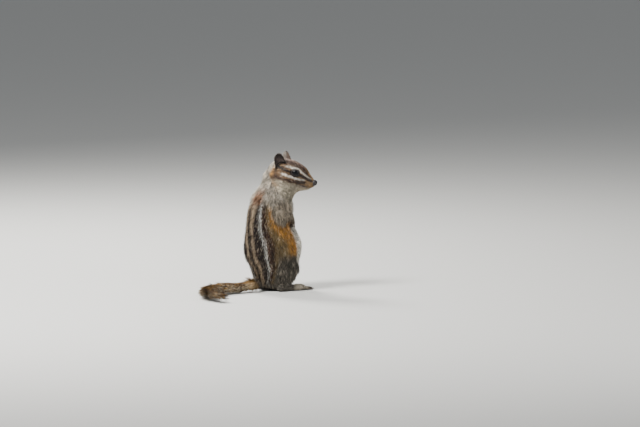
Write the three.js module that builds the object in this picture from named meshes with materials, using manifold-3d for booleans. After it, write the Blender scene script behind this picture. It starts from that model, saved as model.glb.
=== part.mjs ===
// A least chipmunk sitting up on its haunches, life size, in millimetres, +Z up.
// The hips face +X and the animal's left is +Y. It looks over its right shoulder, and its tail lies
// on the floor behind it and bends to its right. Every surface is the outside of the coat.
import * as THREE from "three";
import { mergeVertices } from "three/addons/utils/BufferGeometryUtils.js";
import Module from "manifold-3d";

const wasm = await Module();
wasm.setup();
const { Manifold, Mesh } = wasm;

const at = (x, y, z) => new THREE.Vector3(x, y, z);
const radians = THREE.MathUtils.degToRad;

// Sizes of the trunk: centres and half sizes (depth, width, height) of the masses that blend into it
const RUMP = { centre: at(2.4, 0, 13.5), half: at(17.3, 14.6, 14.5) };
const BELLY = { centre: at(0.4, 0, 31), half: at(23.2, 18.6, 20) };
const CHEST = { centre: at(-3.4, 0, 50), half: at(17.4, 15.2, 20) };
const WITHERS = { centre: at(-0.6, 0, 61), half: at(14.8, 13.8, 14) };
const NECK = { low: at(1.2, 0, 65), lowRadius: 13.4, high: at(7.1, -1.8, 79.2), highRadius: 12.5 };

// Where the head is carried, and how it is turned from the hips
const HEAD_CENTRE = at(13.2, -8.6, 83.6);
const HEAD_TURN = radians(-59);
const HEAD_DROP = radians(17);

// Sizes of the head, from its centre: x forward, y to its left, z up. Sides are mirrored.
const CRANIUM = { centre: at(-4.2, 0, 0.9), half: at(11.8, 10, 10.3) };
const NAPE = { centre: at(-11.5, 0, -2.2), half: at(7.8, 8.2, 10) };
const FOREHEAD = { centre: at(1.6, 0, 1.7), half: at(8.6, 6.4, 8.8) };
const BROW = { centre: at(0.6, 3.4, 1.2), half: at(8.8, 4.7, 6.4) };
const CHEEK = { centre: at(-1.5, 5, -4.6), half: at(8.6, 5.4, 6) };
const MUZZLE = { low: at(4.6, 0, 1.9), lowRadius: 7, high: at(14.6, 0, -0.8), highRadius: 3.4 };
const WHISKER_PAD = { centre: at(13, 1.9, -2.2), half: at(3.9, 2.3, 2.5) };
const JAW = { low: at(2, 0, -5.3), lowRadius: 6.1, high: at(12.6, 0, -4.6), highRadius: 2.5 };
const NOSE = { centre: at(16.7, 0, 0.1), half: at(2.1, 2.2, 2.2) };
const NOSTRIL = { centre: at(18.3, 1.1, -0.3), half: at(1, 0.5, 0.65) };
const MOUTH = { front: 16, corner: 8.6, height: -4.2, drop: 0.7, groove: 0.4 };

const EYE = { centre: at(2.6, 5.9, 3.6), radius: 3.4, look: at(0.2, 0.96, 0.16) };
const LID = { reach: 2.3, long: 3.2, tall: 2.75, thick: 0.65 };

const EAR = { root: at(-8.2, 8.9, 0.4), tip: at(-10.6, 10.9, 13.2), opens: radians(60) };
const EAR_SIZE = { width: 3.7, thick: 0.55, rootCurl: radians(118), tipCurl: radians(38) };

// Legs on the right side, with their mirror images on the left
const THIGH = { low: at(1.4, -8.6, 13), lowRadius: 9.4, high: at(8, -11.6, 16.6), highRadius: 6.8 };
const HAUNCH = { centre: at(5.4, -15, 15), half: at(14.4, 10.4, 12.6) };
const SHANK = { low: at(7.4, -11.6, 11), lowRadius: 4.8, high: at(-2, -12.2, 4.4), highRadius: 3.8 };
const SOLE = { low: at(-2.6, -12.4, 2.5), lowRadius: 3.2, high: at(16.8, -13.2, 2), highRadius: 2.8 };
const UPPER_ARM = { low: at(2, -8, 62), lowRadius: 7.4, high: at(-4.4, -11.8, 56), highRadius: 5.2 };
const SHOULDER = { centre: at(-1.6, -15, 59), half: at(10, 8, 9.4) };
const FOREARM = { low: at(-4.6, -13.8, 57), lowRadius: 4.6, high: at(2.6, -15.9, 56.6), highRadius: 2.5 };
const PALM = { low: at(3.6, -16.2, 55.8), lowRadius: 2.3, high: at(5.2, -16.1, 53.2), highRadius: 2.1 };
const TOE = { count: 5, length: 8.6, radius: 1.3, splay: radians(26), droop: radians(14), spread: 5.4 };
const FINGER = { count: 4, length: 6, radius: 0.85, splay: radians(34), droop: radians(34), spread: 3.3 };

// Rings of a digit, from its root to the tip of its claw: share of its length, and share of its radius
const DIGIT_RINGS = [[0, 1], [0.5, 1.03], [0.71, 0.84], [0.77, 0.4], [1, 0.1]];

// The tail's line on the floor out to the tip of its brush, and half sizes of its core and its coat
const TAIL_HEIGHT = 4.1;
const TAIL_LINE = [
  at(-9, 0, 7.5), at(-19, 0.2, 5.6), at(-29, 1.4, TAIL_HEIGHT), at(-42, 2.6, TAIL_HEIGHT),
  at(-54, 0.6, TAIL_HEIGHT), at(-65, -5, TAIL_HEIGHT), at(-73, -14, TAIL_HEIGHT),
  at(-77.5, -25, TAIL_HEIGHT), at(-79, -35, TAIL_HEIGHT), at(-79.4, -44, TAIL_HEIGHT),
];
const TAIL_CORE = { wide: 3, tall: 2.3, end: 0.9 };
const TAIL_COAT = { wide: 6.2, tall: 4.3, tip: 0.32 };
const TAIL_CUTS = [0.34, 0.63];

// Locks of the tail's coat: rows along the tail from the first root to the last, and locks in a row.
// Widths and thicknesses are halves at a lock's root. Angles and places stray by seeded shares.
const LOCK = { rows: 7, first: 0.03, last: 0.82, around: 6, length: 19, width: 2.8, thick: 0.85 };
const LOCK_RINGS = 3;
const LOCK_ROOT_DEPTH = 0.4;
const LOCK_STRAY = { seed: 7, root: 0.3, turn: 0.16, length: 0.16, bend: 0.35, lift: 0.1 };

const GAP = 0.3;
const LIMB_FILLET = 3.6;
const HEAD_FILLET = 6;
const HEAD_REACH = 40;
const FLOOR = 0;

// Lengths of each net's cells
const TRUNK_CELL = 3.7;
const HEAD_CELL = 1.85;
const HEAD_CLEAR_CELL = 1.5;

const SIDES = [[-1, "right"], [1, "left"]];

// Distance functions
const headTurn = new THREE.Matrix4()
  .makeRotationZ(HEAD_TURN)
  .multiply(new THREE.Matrix4().makeRotationY(HEAD_DROP));
const headPlace = new THREE.Matrix4().setPosition(HEAD_CENTRE).multiply(headTurn);
const headUnplace = headPlace.clone().invert();

function ellipsoid({ centre, half }) {
  return (p) => {
    const x = (p.x - centre.x) / half.x;
    const y = (p.y - centre.y) / half.y;
    const z = (p.z - centre.z) / half.z;
    const near = Math.hypot(x, y, z);
    const steep = Math.hypot(x / half.x, y / half.y, z / half.z);
    return steep < 1e-9 ? -Math.min(half.x, half.y, half.z) : (near * (near - 1)) / steep;
  };
}

function roundCone({ low, lowRadius, high, highRadius }) {
  const axis = high.clone().sub(low);
  const length = axis.length();
  axis.normalize();
  const slope = (lowRadius - highRadius) / length;
  const rise = Math.sqrt(1 - slope * slope);
  return (p) => {
    const d = p.clone().sub(low);
    const along = d.dot(axis);
    const out = Math.sqrt(Math.max(0, d.lengthSq() - along * along));
    const share = (along - (out * slope) / rise) / length;
    if (share <= 0) return Math.hypot(out, along) - lowRadius;
    if (share >= 1) return Math.hypot(out, along - length) - highRadius;
    return out * rise + along * slope - lowRadius;
  };
}

// Two distances joined with a fillet
function blend(a, b, width) {
  const overlap = Math.max(width - Math.abs(a - b), 0) / width;
  return Math.min(a, b) - (overlap * overlap * width) / 4;
}

function mirrored(shape) {
  const flip = (v) => at(v.x, -v.y, v.z);
  const other = { ...shape };
  for (const key of ["centre", "low", "high"]) if (shape[key]) other[key] = flip(shape[key]);
  return other;
}

const bothSides = (make, shape) => [make(shape), make(mirrored(shape))];

const headParts = [
  [ellipsoid(CRANIUM), 0],
  [ellipsoid(NAPE), 3],
  [ellipsoid(FOREHEAD), 3],
  ...bothSides(ellipsoid, BROW).map((d) => [d, 2]),
  ...bothSides(ellipsoid, CHEEK).map((d) => [d, 2.6]),
  [roundCone(MUZZLE), 3],
  [roundCone(JAW), 1.6],
  ...bothSides(ellipsoid, WHISKER_PAD).map((d) => [d, 1]),
];

const trunkParts = [
  [ellipsoid(BELLY), 0],
  [ellipsoid(RUMP), 8],
  [ellipsoid(CHEST), 9],
  [ellipsoid(WITHERS), 7],
  [roundCone(NECK), 6],
  ...bothSides(roundCone, THIGH).map((d) => [d, LIMB_FILLET]),
  ...bothSides(roundCone, UPPER_ARM).map((d) => [d, LIMB_FILLET]),
];

function blended(parts, p) {
  let distance = Infinity;
  for (const [part, width] of parts) {
    const next = part(p);
    distance = distance === Infinity ? next : blend(distance, next, width);
  }
  return distance;
}

function body(p) {
  const trunk = blended(trunkParts, p);
  const local = p.clone().applyMatrix4(headUnplace);
  return local.length() > HEAD_REACH ? trunk : blend(trunk, blended(headParts, local), HEAD_FILLET);
}

// A closed net of triangles on a distance function's zero, inside a box: one point in each cell that
// the surface crosses, and one square round each grid line that it cuts
function netOver(distance, low, high, cell) {
  const count = high.clone().sub(low).divideScalar(cell).ceil();
  const [nx, ny, nz] = [count.x + 1, count.y + 1, count.z + 1];
  const centre = low.clone().add(high).multiplyScalar(0.5);
  const reach = high.clone().sub(low).multiplyScalar(0.5).subScalar(cell * 1.01);
  const inBox = (p) =>
    Math.max(distance(p), ...["x", "y", "z"].map((k) => Math.abs(p[k] - centre[k]) - reach[k]));
  const corner = (i, j, k) => at(low.x + i * cell, low.y + j * cell, low.z + k * cell);
  const key = (i, j, k) => (k * ny + j) * nx + i;
  const value = new Float64Array(nx * ny * nz);
  for (let k = 0; k < nz; k++)
    for (let j = 0; j < ny; j++)
      for (let i = 0; i < nx; i++) value[key(i, j, k)] = inBox(corner(i, j, k)) || 1e-6;

  const points = [];
  const pointOf = new Map();
  for (let k = 0; k < nz - 1; k++)
    for (let j = 0; j < ny - 1; j++)
      for (let i = 0; i < nx - 1; i++) {
        const sum = at(0, 0, 0);
        let crossings = 0;
        for (let a = 0; a < 8; a++)
          for (let step = 1; step < 8; step *= 2) {
            if (a & step) continue;
            const b = a | step;
            const [ai, aj, ak] = [i + (a & 1), j + ((a >> 1) & 1), k + (a >> 2)];
            const [bi, bj, bk] = [i + (b & 1), j + ((b >> 1) & 1), k + (b >> 2)];
            const [va, vb] = [value[key(ai, aj, ak)], value[key(bi, bj, bk)]];
            if (va < 0 === vb < 0) continue;
            sum.add(corner(ai, aj, ak).lerp(corner(bi, bj, bk), va / (va - vb)));
            crossings++;
          }
        if (!crossings) continue;
        pointOf.set(key(i, j, k), points.length);
        points.push(settled(inBox, sum.divideScalar(crossings), cell));
      }

  const faces = [];
  const steps = [[1, 0, 0], [0, 1, 0], [0, 0, 1]];
  for (let k = 1; k < nz - 1; k++)
    for (let j = 1; j < ny - 1; j++)
      for (let i = 1; i < nx - 1; i++)
        steps.forEach(([di, dj, dk], axis) => {
          const inside = value[key(i, j, k)] < 0;
          if (inside === value[key(i + di, j + dj, k + dk)] < 0) return;
          const [u, v] = [steps[(axis + 1) % 3], steps[(axis + 2) % 3]];
          const around = [[0, 0], [1, 0], [1, 1], [0, 1]].map(([s, t]) =>
            pointOf.get(key(i - s * u[0] - t * v[0], j - s * u[1] - t * v[1], k - s * u[2] - t * v[2])),
          );
          if (!inside) around.reverse();
          const [a, b, c, d] = around;
          const short = points[a].distanceTo(points[c]) < points[b].distanceTo(points[d]);
          faces.push(...(short ? [a, b, c, a, c, d] : [a, b, d, b, c, d]));
        });
  return solid(points.flatMap((p) => p.toArray()), faces);
}

// A point moved along the slope onto the surface, by at most part of a cell
function settled(distance, start, cell) {
  const p = start.clone();
  const h = 0.02;
  for (let pass = 0; pass < 3; pass++) {
    const d = distance(p);
    const slope = at(
      distance(at(p.x + h, p.y, p.z)) - distance(at(p.x - h, p.y, p.z)),
      distance(at(p.x, p.y + h, p.z)) - distance(at(p.x, p.y - h, p.z)),
      distance(at(p.x, p.y, p.z + h)) - distance(at(p.x, p.y, p.z - h)),
    ).divideScalar(2 * h);
    if (slope.lengthSq() > 0.01) p.addScaledVector(slope, -d / slope.lengthSq());
  }
  const move = p.sub(start).clampLength(0, cell * 0.35);
  return start.clone().add(move);
}

// Solids, and their joins and cuts
function solid(positions, faces) {
  return new Manifold(
    new Mesh({ numProp: 3, vertProperties: new Float32Array(positions), triVerts: new Uint32Array(faces) }),
  );
}

// A three.js geometry, its vertices first moved by a function, as a solid
function solidOf(geometry, move = (p) => p) {
  const bare = new THREE.BufferGeometry();
  bare.setAttribute("position", geometry.getAttribute("position"));
  bare.setIndex(geometry.index);
  const merged = mergeVertices(bare, 1e-4);
  const place = merged.getAttribute("position");
  const moved = [];
  for (let i = 0; i < place.count; i++) {
    const point = new THREE.Vector3().fromBufferAttribute(place, i);
    moved.push(...move(point).toArray());
  }
  const faces = [];
  const index = merged.index.array;
  for (let i = 0; i < index.length; i += 3) {
    const [a, b, c] = [index[i], index[i + 1], index[i + 2]];
    if (a !== b && b !== c && a !== c) faces.push(a, b, c);
  }
  const made = solid(moved, faces);
  if (made.volume() > 0) return made;
  for (let i = 0; i < faces.length; i += 3) [faces[i], faces[i + 1]] = [faces[i + 1], faces[i]];
  return solid(moved, faces);
}

function largest(shape) {
  return shape.decompose().reduce((a, b) => (a.volume() > b.volume() ? a : b));
}

const union = (shapes) => shapes.reduce((a, b) => a.add(b));

const aroundBody = (grow) => (p) => body(p) - grow;

// A round cone's solid: two balls and the tangent cone between them, turned on a lathe
function coneSolid({ low, lowRadius, high, highRadius }, grow = 0) {
  const axis = high.clone().sub(low);
  const length = axis.length();
  const [r0, r1] = [lowRadius + grow, highRadius + grow];
  const tilt = Math.asin((r0 - r1) / length);
  const profile = [];
  const arc = 3;
  const sides = 10;
  for (let i = 0; i <= arc; i++) {
    const a = -Math.PI / 2 + ((Math.PI / 2 + tilt) * i) / arc;
    profile.push(new THREE.Vector2(Math.max(0, r0 * Math.cos(a)), r0 * Math.sin(a)));
  }
  for (let i = 0; i <= arc; i++) {
    const a = tilt + ((Math.PI / 2 - tilt) * i) / arc;
    profile.push(new THREE.Vector2(i === arc ? 0 : r1 * Math.cos(a), length + r1 * Math.sin(a)));
  }
  const turn = new THREE.Quaternion().setFromUnitVectors(at(0, 1, 0), axis.normalize());
  return solidOf(new THREE.LatheGeometry(profile, sides), (p) => p.applyQuaternion(turn).add(low));
}

function ballSolid({ centre, half }, columns = 14, rows = 10) {
  return solidOf(new THREE.SphereGeometry(1, columns, rows), (p) => p.multiply(half).add(centre));
}

// A slab whose near face passes through a point, square to a direction
function slab(through, direction, thick = 200) {
  const turn = new THREE.Quaternion().setFromUnitVectors(at(0, 0, 1), direction.clone().normalize());
  return solidOf(new THREE.BoxGeometry(300, 300, thick), (p) =>
    p.add(at(0, 0, thick / 2)).applyQuaternion(turn).add(through),
  );
}

const aboveFloor = slab(at(0, 0, FLOOR), at(0, 0, 1));

const inHead = (p) => p.applyMatrix4(headPlace);

function headSolid({ centre, half }) {
  return solidOf(new THREE.SphereGeometry(1, 8, 6), (p) => inHead(p.multiply(half).add(centre)));
}

// The cut between head and neck passes behind the ears and the corner of the jaw
const HEAD_CUT = { point: at(-15.4, 0, -1.6), normal: at(0.56, 0, 0.83) };
const headCutPoint = HEAD_CUT.point.clone().applyMatrix4(headPlace);
const headCutNormal = HEAD_CUT.normal.clone().transformDirection(headPlace);
const NECK_CUT = { point: at(0, 0, 64.5), normal: at(0.34, 0, 0.94) };

// Head
function lid(side) {
  const look = at(EYE.look.x, EYE.look.y * side, EYE.look.z).normalize();
  const turn = new THREE.Quaternion().setFromUnitVectors(at(0, 0, 1), look);
  const middle = at(EYE.centre.x, EYE.centre.y * side, EYE.centre.z).addScaledVector(look, LID.reach);
  const ring = new THREE.TorusGeometry(1, LID.thick / LID.long, 6, 20);
  const flat = (p) => at(p.x * LID.long, p.y * LID.tall, p.z * LID.long);
  const upright = new THREE.Matrix4().makeBasis(
    at(0, 0, 1).cross(look).normalize(),
    look.clone().cross(at(0, 0, 1).cross(look)).normalize(),
    look,
  );
  return solidOf(ring, (p) => inHead(flat(p).applyMatrix4(upright).add(middle)));
}

function eyeball(side, grow = 0) {
  const r = EYE.radius + grow;
  const centre = at(EYE.centre.x, EYE.centre.y * side, EYE.centre.z);
  return solidOf(new THREE.SphereGeometry(r, 12, 8), (p) => inHead(p.add(centre)));
}

// The first point on the coat, seen from far away in a level direction of the head
function onCoat(from, direction) {
  const p = from.clone().addScaledVector(direction, 14);
  for (let i = 0; i < 40; i++) p.addScaledVector(direction, -0.9 * blended(headParts, p));
  return p;
}

function mouthGroove() {
  const line = [];
  const half = 6;
  for (let i = -half; i <= half; i++) {
    const share = Math.abs(i) / half;
    const back = MOUTH.corner + (MOUTH.front - MOUTH.corner) * Math.cos((share * Math.PI) / 2);
    const from = at(Math.min(back, 13.5), 0, MOUTH.height - MOUTH.drop * Math.sin(share * Math.PI * 0.8));
    const swing = (share * Math.PI) / 2;
    line.push(onCoat(from, at(Math.cos(swing), Math.sin(swing) * Math.sign(i || 1), 0)));
  }
  const path = new THREE.CatmullRomCurve3(line);
  const section = new THREE.Shape(
    new THREE.EllipseCurve(0, 0, MOUTH.groove, MOUTH.groove).getPoints(6).slice(0, 6),
  );
  const tube = new THREE.ExtrudeGeometry(section, { steps: 22, extrudePath: path, bevelEnabled: false });
  return solidOf(tube, inHead);
}

function makeHead() {
  const reach = at(24, 24, 22);
  const head = netOver(body, HEAD_CENTRE.clone().sub(reach), HEAD_CENTRE.clone().add(reach), HEAD_CELL);
  const kept = slab(headCutPoint.clone().addScaledVector(headCutNormal, GAP / 2), headCutNormal);
  const whole = union([head.intersect(kept), lid(1), lid(-1)]);
  const cuts = union([eyeball(1, GAP), eyeball(-1, GAP), noseSolid(GAP), mouthGroove()]);
  return largest(whole.subtract(cuts));
}

function noseSolid(grow = 0) {
  const half = NOSE.half.clone().addScalar(grow);
  return solidOf(new THREE.SphereGeometry(1, 12, 8), (p) => inHead(p.multiply(half).add(NOSE.centre)));
}

function makeNose() {
  const pits = bothSides(headSolid, NOSTRIL);
  return largest(noseSolid().subtract(union(pits)));
}

// An ear: a flattened ball rolled into a cup that opens forward and outward and closes at its root
function makeEar(side) {
  const root = at(EAR.root.x, EAR.root.y * side, EAR.root.z);
  const tip = at(EAR.tip.x, EAR.tip.y * side, EAR.tip.z);
  const up = tip.clone().sub(root);
  const height = up.length();
  up.normalize();
  const opens = at(Math.cos(EAR.opens), Math.sin(EAR.opens) * side, 0);
  opens.addScaledVector(up, -opens.dot(up)).normalize();
  const across = up.clone().cross(opens);
  const widest = 0.45;
  const cup = (p) => {
    const share = THREE.MathUtils.clamp((p.y + 1) / 2, 0, 1);
    const curl = THREE.MathUtils.lerp(EAR_SIZE.rootCurl, EAR_SIZE.tipCurl, Math.sqrt(share));
    const radius = EAR_SIZE.width / Math.max(curl, 0.8) + 0.35 * EAR_SIZE.width * (1 - share);
    const rim = p.x / Math.max(Math.sqrt(1 - p.y * p.y), 0.05);
    const above = Math.max(0, share - widest) / (1 - widest);
    const outline = share < widest ? 0.62 + 0.85 * share : Math.sqrt(Math.max(0, 1 - above ** 2));
    const turn = curl * rim * Math.max(outline, 0.04);
    const thick = EAR_SIZE.thick * p.z * (1.5 - 0.6 * share);
    const reach = radius + thick;
    return inHead(
      root.clone()
        .addScaledVector(up, share * height)
        .addScaledVector(across, reach * Math.sin(turn))
        .addScaledVector(opens, radius * 0.4 - reach * Math.cos(turn)),
    );
  };
  return solidOf(new THREE.SphereGeometry(1, 16, 14), cup);
}

// A bent, tapering digit that ends in its claw
function digit(root, direction, size, sides) {
  const tube = new THREE.CylinderGeometry(1, 1, 1, sides, DIGIT_RINGS.length - 1);
  const sideways = direction.clone().cross(at(0, 0, 1)).normalize();
  return solidOf(tube, (p) => {
    const [share, width] = DIGIT_RINGS[Math.round((p.y + 0.5) * (DIGIT_RINGS.length - 1))];
    const along = direction.clone().applyAxisAngle(sideways, -size.droop * share);
    const above = sideways.clone().cross(along);
    const halfway = direction.clone().applyAxisAngle(sideways, (-size.droop * share) / 2);
    return root.clone()
      .addScaledVector(halfway, share * size.length)
      .addScaledVector(sideways, p.x * width * size.radius)
      .addScaledVector(above, p.z * width * size.radius);
  });
}

function makeFoot(clear) {
  const toes = [];
  for (let i = 0; i < TOE.count; i++) {
    const share = i / (TOE.count - 1) - 0.5;
    const turn = share * TOE.splay * 2;
    const inset = 1 - 1.1 * share * share;
    const root = at(SOLE.high.x + 0.4 + inset, SOLE.high.y + share * TOE.spread, TOE.radius + 0.35);
    const out = at(Math.cos(turn), Math.sin(turn), 0);
    toes.push(digit(root, out, { ...TOE, length: TOE.length * inset }, 5));
  }
  return largest(union([coneSolid(SOLE), ...toes]).intersect(aboveFloor).subtract(clear));
}

function makeHand(clear) {
  const fingers = [];
  const down = PALM.high.clone().sub(PALM.low).normalize();
  for (let i = 0; i < FINGER.count; i++) {
    const share = i / (FINGER.count - 1) - 0.5;
    const out = down.clone().add(at(-0.2, 0, -0.5));
    out.applyAxisAngle(at(1, 0, 0), share * FINGER.splay).normalize();
    fingers.push(digit(PALM.high.clone().add(at(0.2, share * FINGER.spread, 0.2)), out, FINGER, 4));
  }
  return largest(union([coneSolid(PALM), ...fingers]).subtract(clear));
}

// Tail
const tailCurve = new THREE.CatmullRomCurve3(TAIL_LINE);

function tailFrame(share) {
  const place = THREE.MathUtils.clamp(share, 0, 1);
  const point = tailCurve.getPointAt(place);
  const along = tailCurve.getTangentAt(place);
  const sideways = at(0, 0, 1).cross(along).normalize();
  return { point, along, sideways, up: along.clone().cross(sideways) };
}

// How full the coat is at a share of the tail: less where it leaves the rump, and drawn to a point
function fullness(share) {
  const root = Math.min(1, 0.72 + 1.4 * share);
  const past = Math.max(0, (share - 0.72) / 0.28);
  return root * THREE.MathUtils.lerp(1, TAIL_COAT.tip, past * past);
}

// A point of the tail: at a turn round its line, and at a share of the way out to the tips there
function onTail(share, turn, reach) {
  const { point, sideways, up } = tailFrame(share);
  const out = reach * fullness(share);
  return point
    .addScaledVector(sideways, out * TAIL_COAT.wide * Math.cos(turn))
    .addScaledVector(up, out * TAIL_COAT.tall * Math.sin(turn));
}

function tailCore() {
  const tube = new THREE.CylinderGeometry(1, 1, 1, 8, 16);
  return solidOf(tube, (p) => {
    const share = THREE.MathUtils.clamp(p.y + 0.5, 0, 1) * TAIL_CORE.end;
    const { point, sideways, up } = tailFrame(share);
    const swell = fullness(share);
    return point
      .addScaledVector(sideways, p.x * TAIL_CORE.wide * swell)
      .addScaledVector(up, p.z * TAIL_CORE.tall * swell);
  });
}

// A flat, tapering lock that leaves the core and bends over to lie along the tail
function lock(root, turn, { length, bend, lift }) {
  const blade = new THREE.ConeGeometry(1, 1, 3, LOCK_RINGS);
  const span = Math.min(length / tailCurve.getLength(), 1 - root);
  return solidOf(blade, (p) => {
    const along = THREE.MathUtils.clamp(p.y + 0.5, 0, 1);
    const share = root + span * along;
    const here = turn + bend * along * along;
    const rise = 1 - (1 - along) ** 1.8;
    const middle = onTail(share, here, THREE.MathUtils.lerp(LOCK_ROOT_DEPTH, lift, rise));
    const beside = onTail(share, here + 0.1, 1).sub(onTail(share, here - 0.1, 1)).normalize();
    const { along: lie } = tailFrame(share);
    const outward = lie.clone().cross(beside).normalize();
    const taper = along < 1 ? (1 - 0.7 * along * along) / (1 - along) : 0;
    return middle
      .addScaledVector(beside, p.x * taper * LOCK.width)
      .addScaledVector(outward, p.z * taper * LOCK.thick);
  });
}

function tailLocks() {
  THREE.MathUtils.seededRandom(LOCK_STRAY.seed);
  const stray = (amount) => (THREE.MathUtils.seededRandom() * 2 - 1) * amount;
  const locks = [];
  for (let row = 0; row < LOCK.rows; row++)
    for (let k = 0; k < LOCK.around; k++) {
      const place = (row + stray(LOCK_STRAY.root)) / (LOCK.rows - 1);
      const root = THREE.MathUtils.lerp(LOCK.first, LOCK.last, place);
      const turn = ((k + (row % 2) / 2 + stray(LOCK_STRAY.turn)) / LOCK.around) * Math.PI * 2;
      const length = LOCK.length * (1 + stray(LOCK_STRAY.length));
      const bend = stray(LOCK_STRAY.bend);
      const lift = 1 + stray(LOCK_STRAY.lift);
      locks.push(lock(root, turn, { length, bend, lift }));
    }
  return union(locks);
}

function makeTail(clear) {
  let rest = tailCore().add(tailLocks()).subtract(clear).intersect(aboveFloor);
  const lengths = [];
  for (const cut of TAIL_CUTS) {
    const { point, along } = tailFrame(cut);
    const beyond = slab(point.clone().addScaledVector(along, GAP / 2), along, 60);
    lengths.push(largest(rest.subtract(slab(point.clone().addScaledVector(along, -GAP / 2), along, 60))));
    rest = largest(rest.intersect(beyond));
  }
  return [...lengths, rest];
}

// Trunk and upper limbs: the coat as one net, parted by thin curved and flat cuts
function makeTrunk() {
  const nodes = {};
  const reach = { low: at(-25, -24, -5), high: at(28, 24, 100) };
  let rest = netOver(body, reach.low, reach.high, TRUNK_CELL)
    .intersect(aboveFloor)
    .subtract(slab(headCutPoint.clone().addScaledVector(headCutNormal, -GAP / 2), headCutNormal));
  for (const [side, name] of SIDES)
    for (const [limb, region] of [["thigh", HAUNCH], ["upper_arm", SHOULDER]]) {
      const { centre, half } = side < 0 ? region : mirrored(region);
      nodes[`${limb}_${name}`] = largest(rest.intersect(ballSolid({ centre, half }, 20, 12)));
      rest = rest.subtract(ballSolid({ centre, half: half.clone().addScalar(GAP) }, 20, 12));
    }
  const normal = NECK_CUT.normal.clone().normalize();
  const cut = (shift) => slab(NECK_CUT.point.clone().addScaledVector(normal, shift), normal);
  nodes.neck = largest(rest.intersect(cut(GAP / 2)));
  nodes.torso = largest(rest.subtract(cut(-GAP / 2)));
  return nodes;
}

// Lower limbs on the right, each cut clear of what it grows from
function makeLowerLimbs(aroundTrunk) {
  const foot = makeFoot(aroundTrunk);
  const aroundFoot = coneSolid(SOLE, GAP);
  const hand = makeHand(aroundTrunk);
  const forearm = coneSolid(FOREARM).subtract(aroundTrunk).subtract(coneSolid(PALM, GAP));
  const shank = coneSolid(SHANK).subtract(aroundTrunk).subtract(aroundFoot).intersect(aboveFloor);
  return { foot, shank: largest(shank), forearm: largest(forearm), hand };
}

// Colours of the coat and bare parts, for telling the pieces apart
const finish = (color, roughness) => new THREE.MeshStandardMaterial({ color, roughness, metalness: 0 });
const FINISHES = {
  back: finish(0x8a6a4a, 0.95),
  head: finish(0x7d6650, 0.95),
  limb: finish(0x8f7c62, 0.95),
  tail: finish(0x8c6a2c, 0.95),
  ear: finish(0x4a3830, 0.9),
  eye: finish(0x0a0a0c, 0.15),
  nose: finish(0x1a1416, 0.5),
};

const chipmunk = new THREE.Group();

function addNode(name, shape, material) {
  const mesh = shape.getMesh();
  const geometry = new THREE.BufferGeometry();
  geometry.setAttribute("position", new THREE.BufferAttribute(new Float32Array(mesh.vertProperties), 3));
  geometry.setIndex(new THREE.BufferAttribute(new Uint32Array(mesh.triVerts), 1));
  geometry.computeVertexNormals();
  const node = new THREE.Mesh(geometry, material);
  node.name = name;
  chipmunk.add(node);
}

for (const [name, shape] of Object.entries(makeTrunk())) {
  const material = name === "torso" || name === "neck" ? FINISHES.back : FINISHES.limb;
  addNode(name, shape, material);
}
addNode("head", makeHead(), FINISHES.head);
addNode("nose", makeNose(), FINISHES.nose);

const headReach = at(24, 24, 26);
const aroundHead = netOver(
  aroundBody(GAP),
  HEAD_CENTRE.clone().sub(headReach),
  HEAD_CENTRE.clone().add(headReach),
  HEAD_CLEAR_CELL,
);
const aroundTrunk = netOver(aroundBody(GAP), at(-26, -25, -8), at(28, 25, 70), TRUNK_CELL);
const lowerLimbs = makeLowerLimbs(aroundTrunk);
for (const [side, name] of SIDES) {
  addNode(`eye_${name}`, eyeball(side), FINISHES.eye);
  addNode(`ear_${name}`, largest(makeEar(side).subtract(aroundHead)), FINISHES.ear);
  for (const [limb, shape] of Object.entries(lowerLimbs))
    addNode(`${limb}_${name}`, side < 0 ? shape : shape.mirror([0, 1, 0]), FINISHES.limb);
}
makeTail(aroundTrunk).forEach((shape, i) =>
  addNode(["tail_root", "tail_middle", "tail_end"][i], shape, FINISHES.tail),
);

export default chipmunk;
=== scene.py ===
# %% [markdown]
# # A least chipmunk sitting up, as a museum model
#
# The solids give the animal's outline at the outside of its coat. This script dresses them: one skin
# without seams lies inside the solids, and tufts of hair grow from it back out to their surface.
# Lengths are in millimetres in the arrays here and become metres when a mesh is made.

import math

import bmesh
import bpy
import numpy as np
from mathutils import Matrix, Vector
from mathutils.bvhtree import BVHTree
from mathutils.kdtree import KDTree


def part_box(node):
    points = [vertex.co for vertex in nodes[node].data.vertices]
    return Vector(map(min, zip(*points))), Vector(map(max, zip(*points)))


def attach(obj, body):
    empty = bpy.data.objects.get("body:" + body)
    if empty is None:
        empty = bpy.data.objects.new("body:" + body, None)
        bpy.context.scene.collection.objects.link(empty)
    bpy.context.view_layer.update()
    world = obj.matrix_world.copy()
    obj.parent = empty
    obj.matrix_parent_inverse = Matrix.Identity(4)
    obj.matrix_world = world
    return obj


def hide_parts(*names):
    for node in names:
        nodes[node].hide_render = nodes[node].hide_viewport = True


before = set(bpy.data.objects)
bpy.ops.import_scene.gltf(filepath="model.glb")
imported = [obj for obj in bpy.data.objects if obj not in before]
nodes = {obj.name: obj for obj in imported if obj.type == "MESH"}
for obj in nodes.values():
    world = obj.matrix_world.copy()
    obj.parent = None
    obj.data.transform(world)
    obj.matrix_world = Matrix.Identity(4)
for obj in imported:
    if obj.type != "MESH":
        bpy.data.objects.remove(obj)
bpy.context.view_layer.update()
MM = 0.001
draw = np.random.default_rng(11)
print("solids to dress:", len(nodes))

# %% [markdown]
# ## Where the head is, and how it is turned
#
# The eyes' solids are whole balls, so the middle of each one's box is its centre. The head is turned
# to the animal's right and dropped a little, and its markings are simplest to describe in the head's
# own directions: forward to the nose, to its left, and up. A turn matrix takes points there and back.


# %% Head axes
def unit(vectors):
    return vectors / np.maximum(np.linalg.norm(vectors, axis=-1, keepdims=True), 1e-9)


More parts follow.
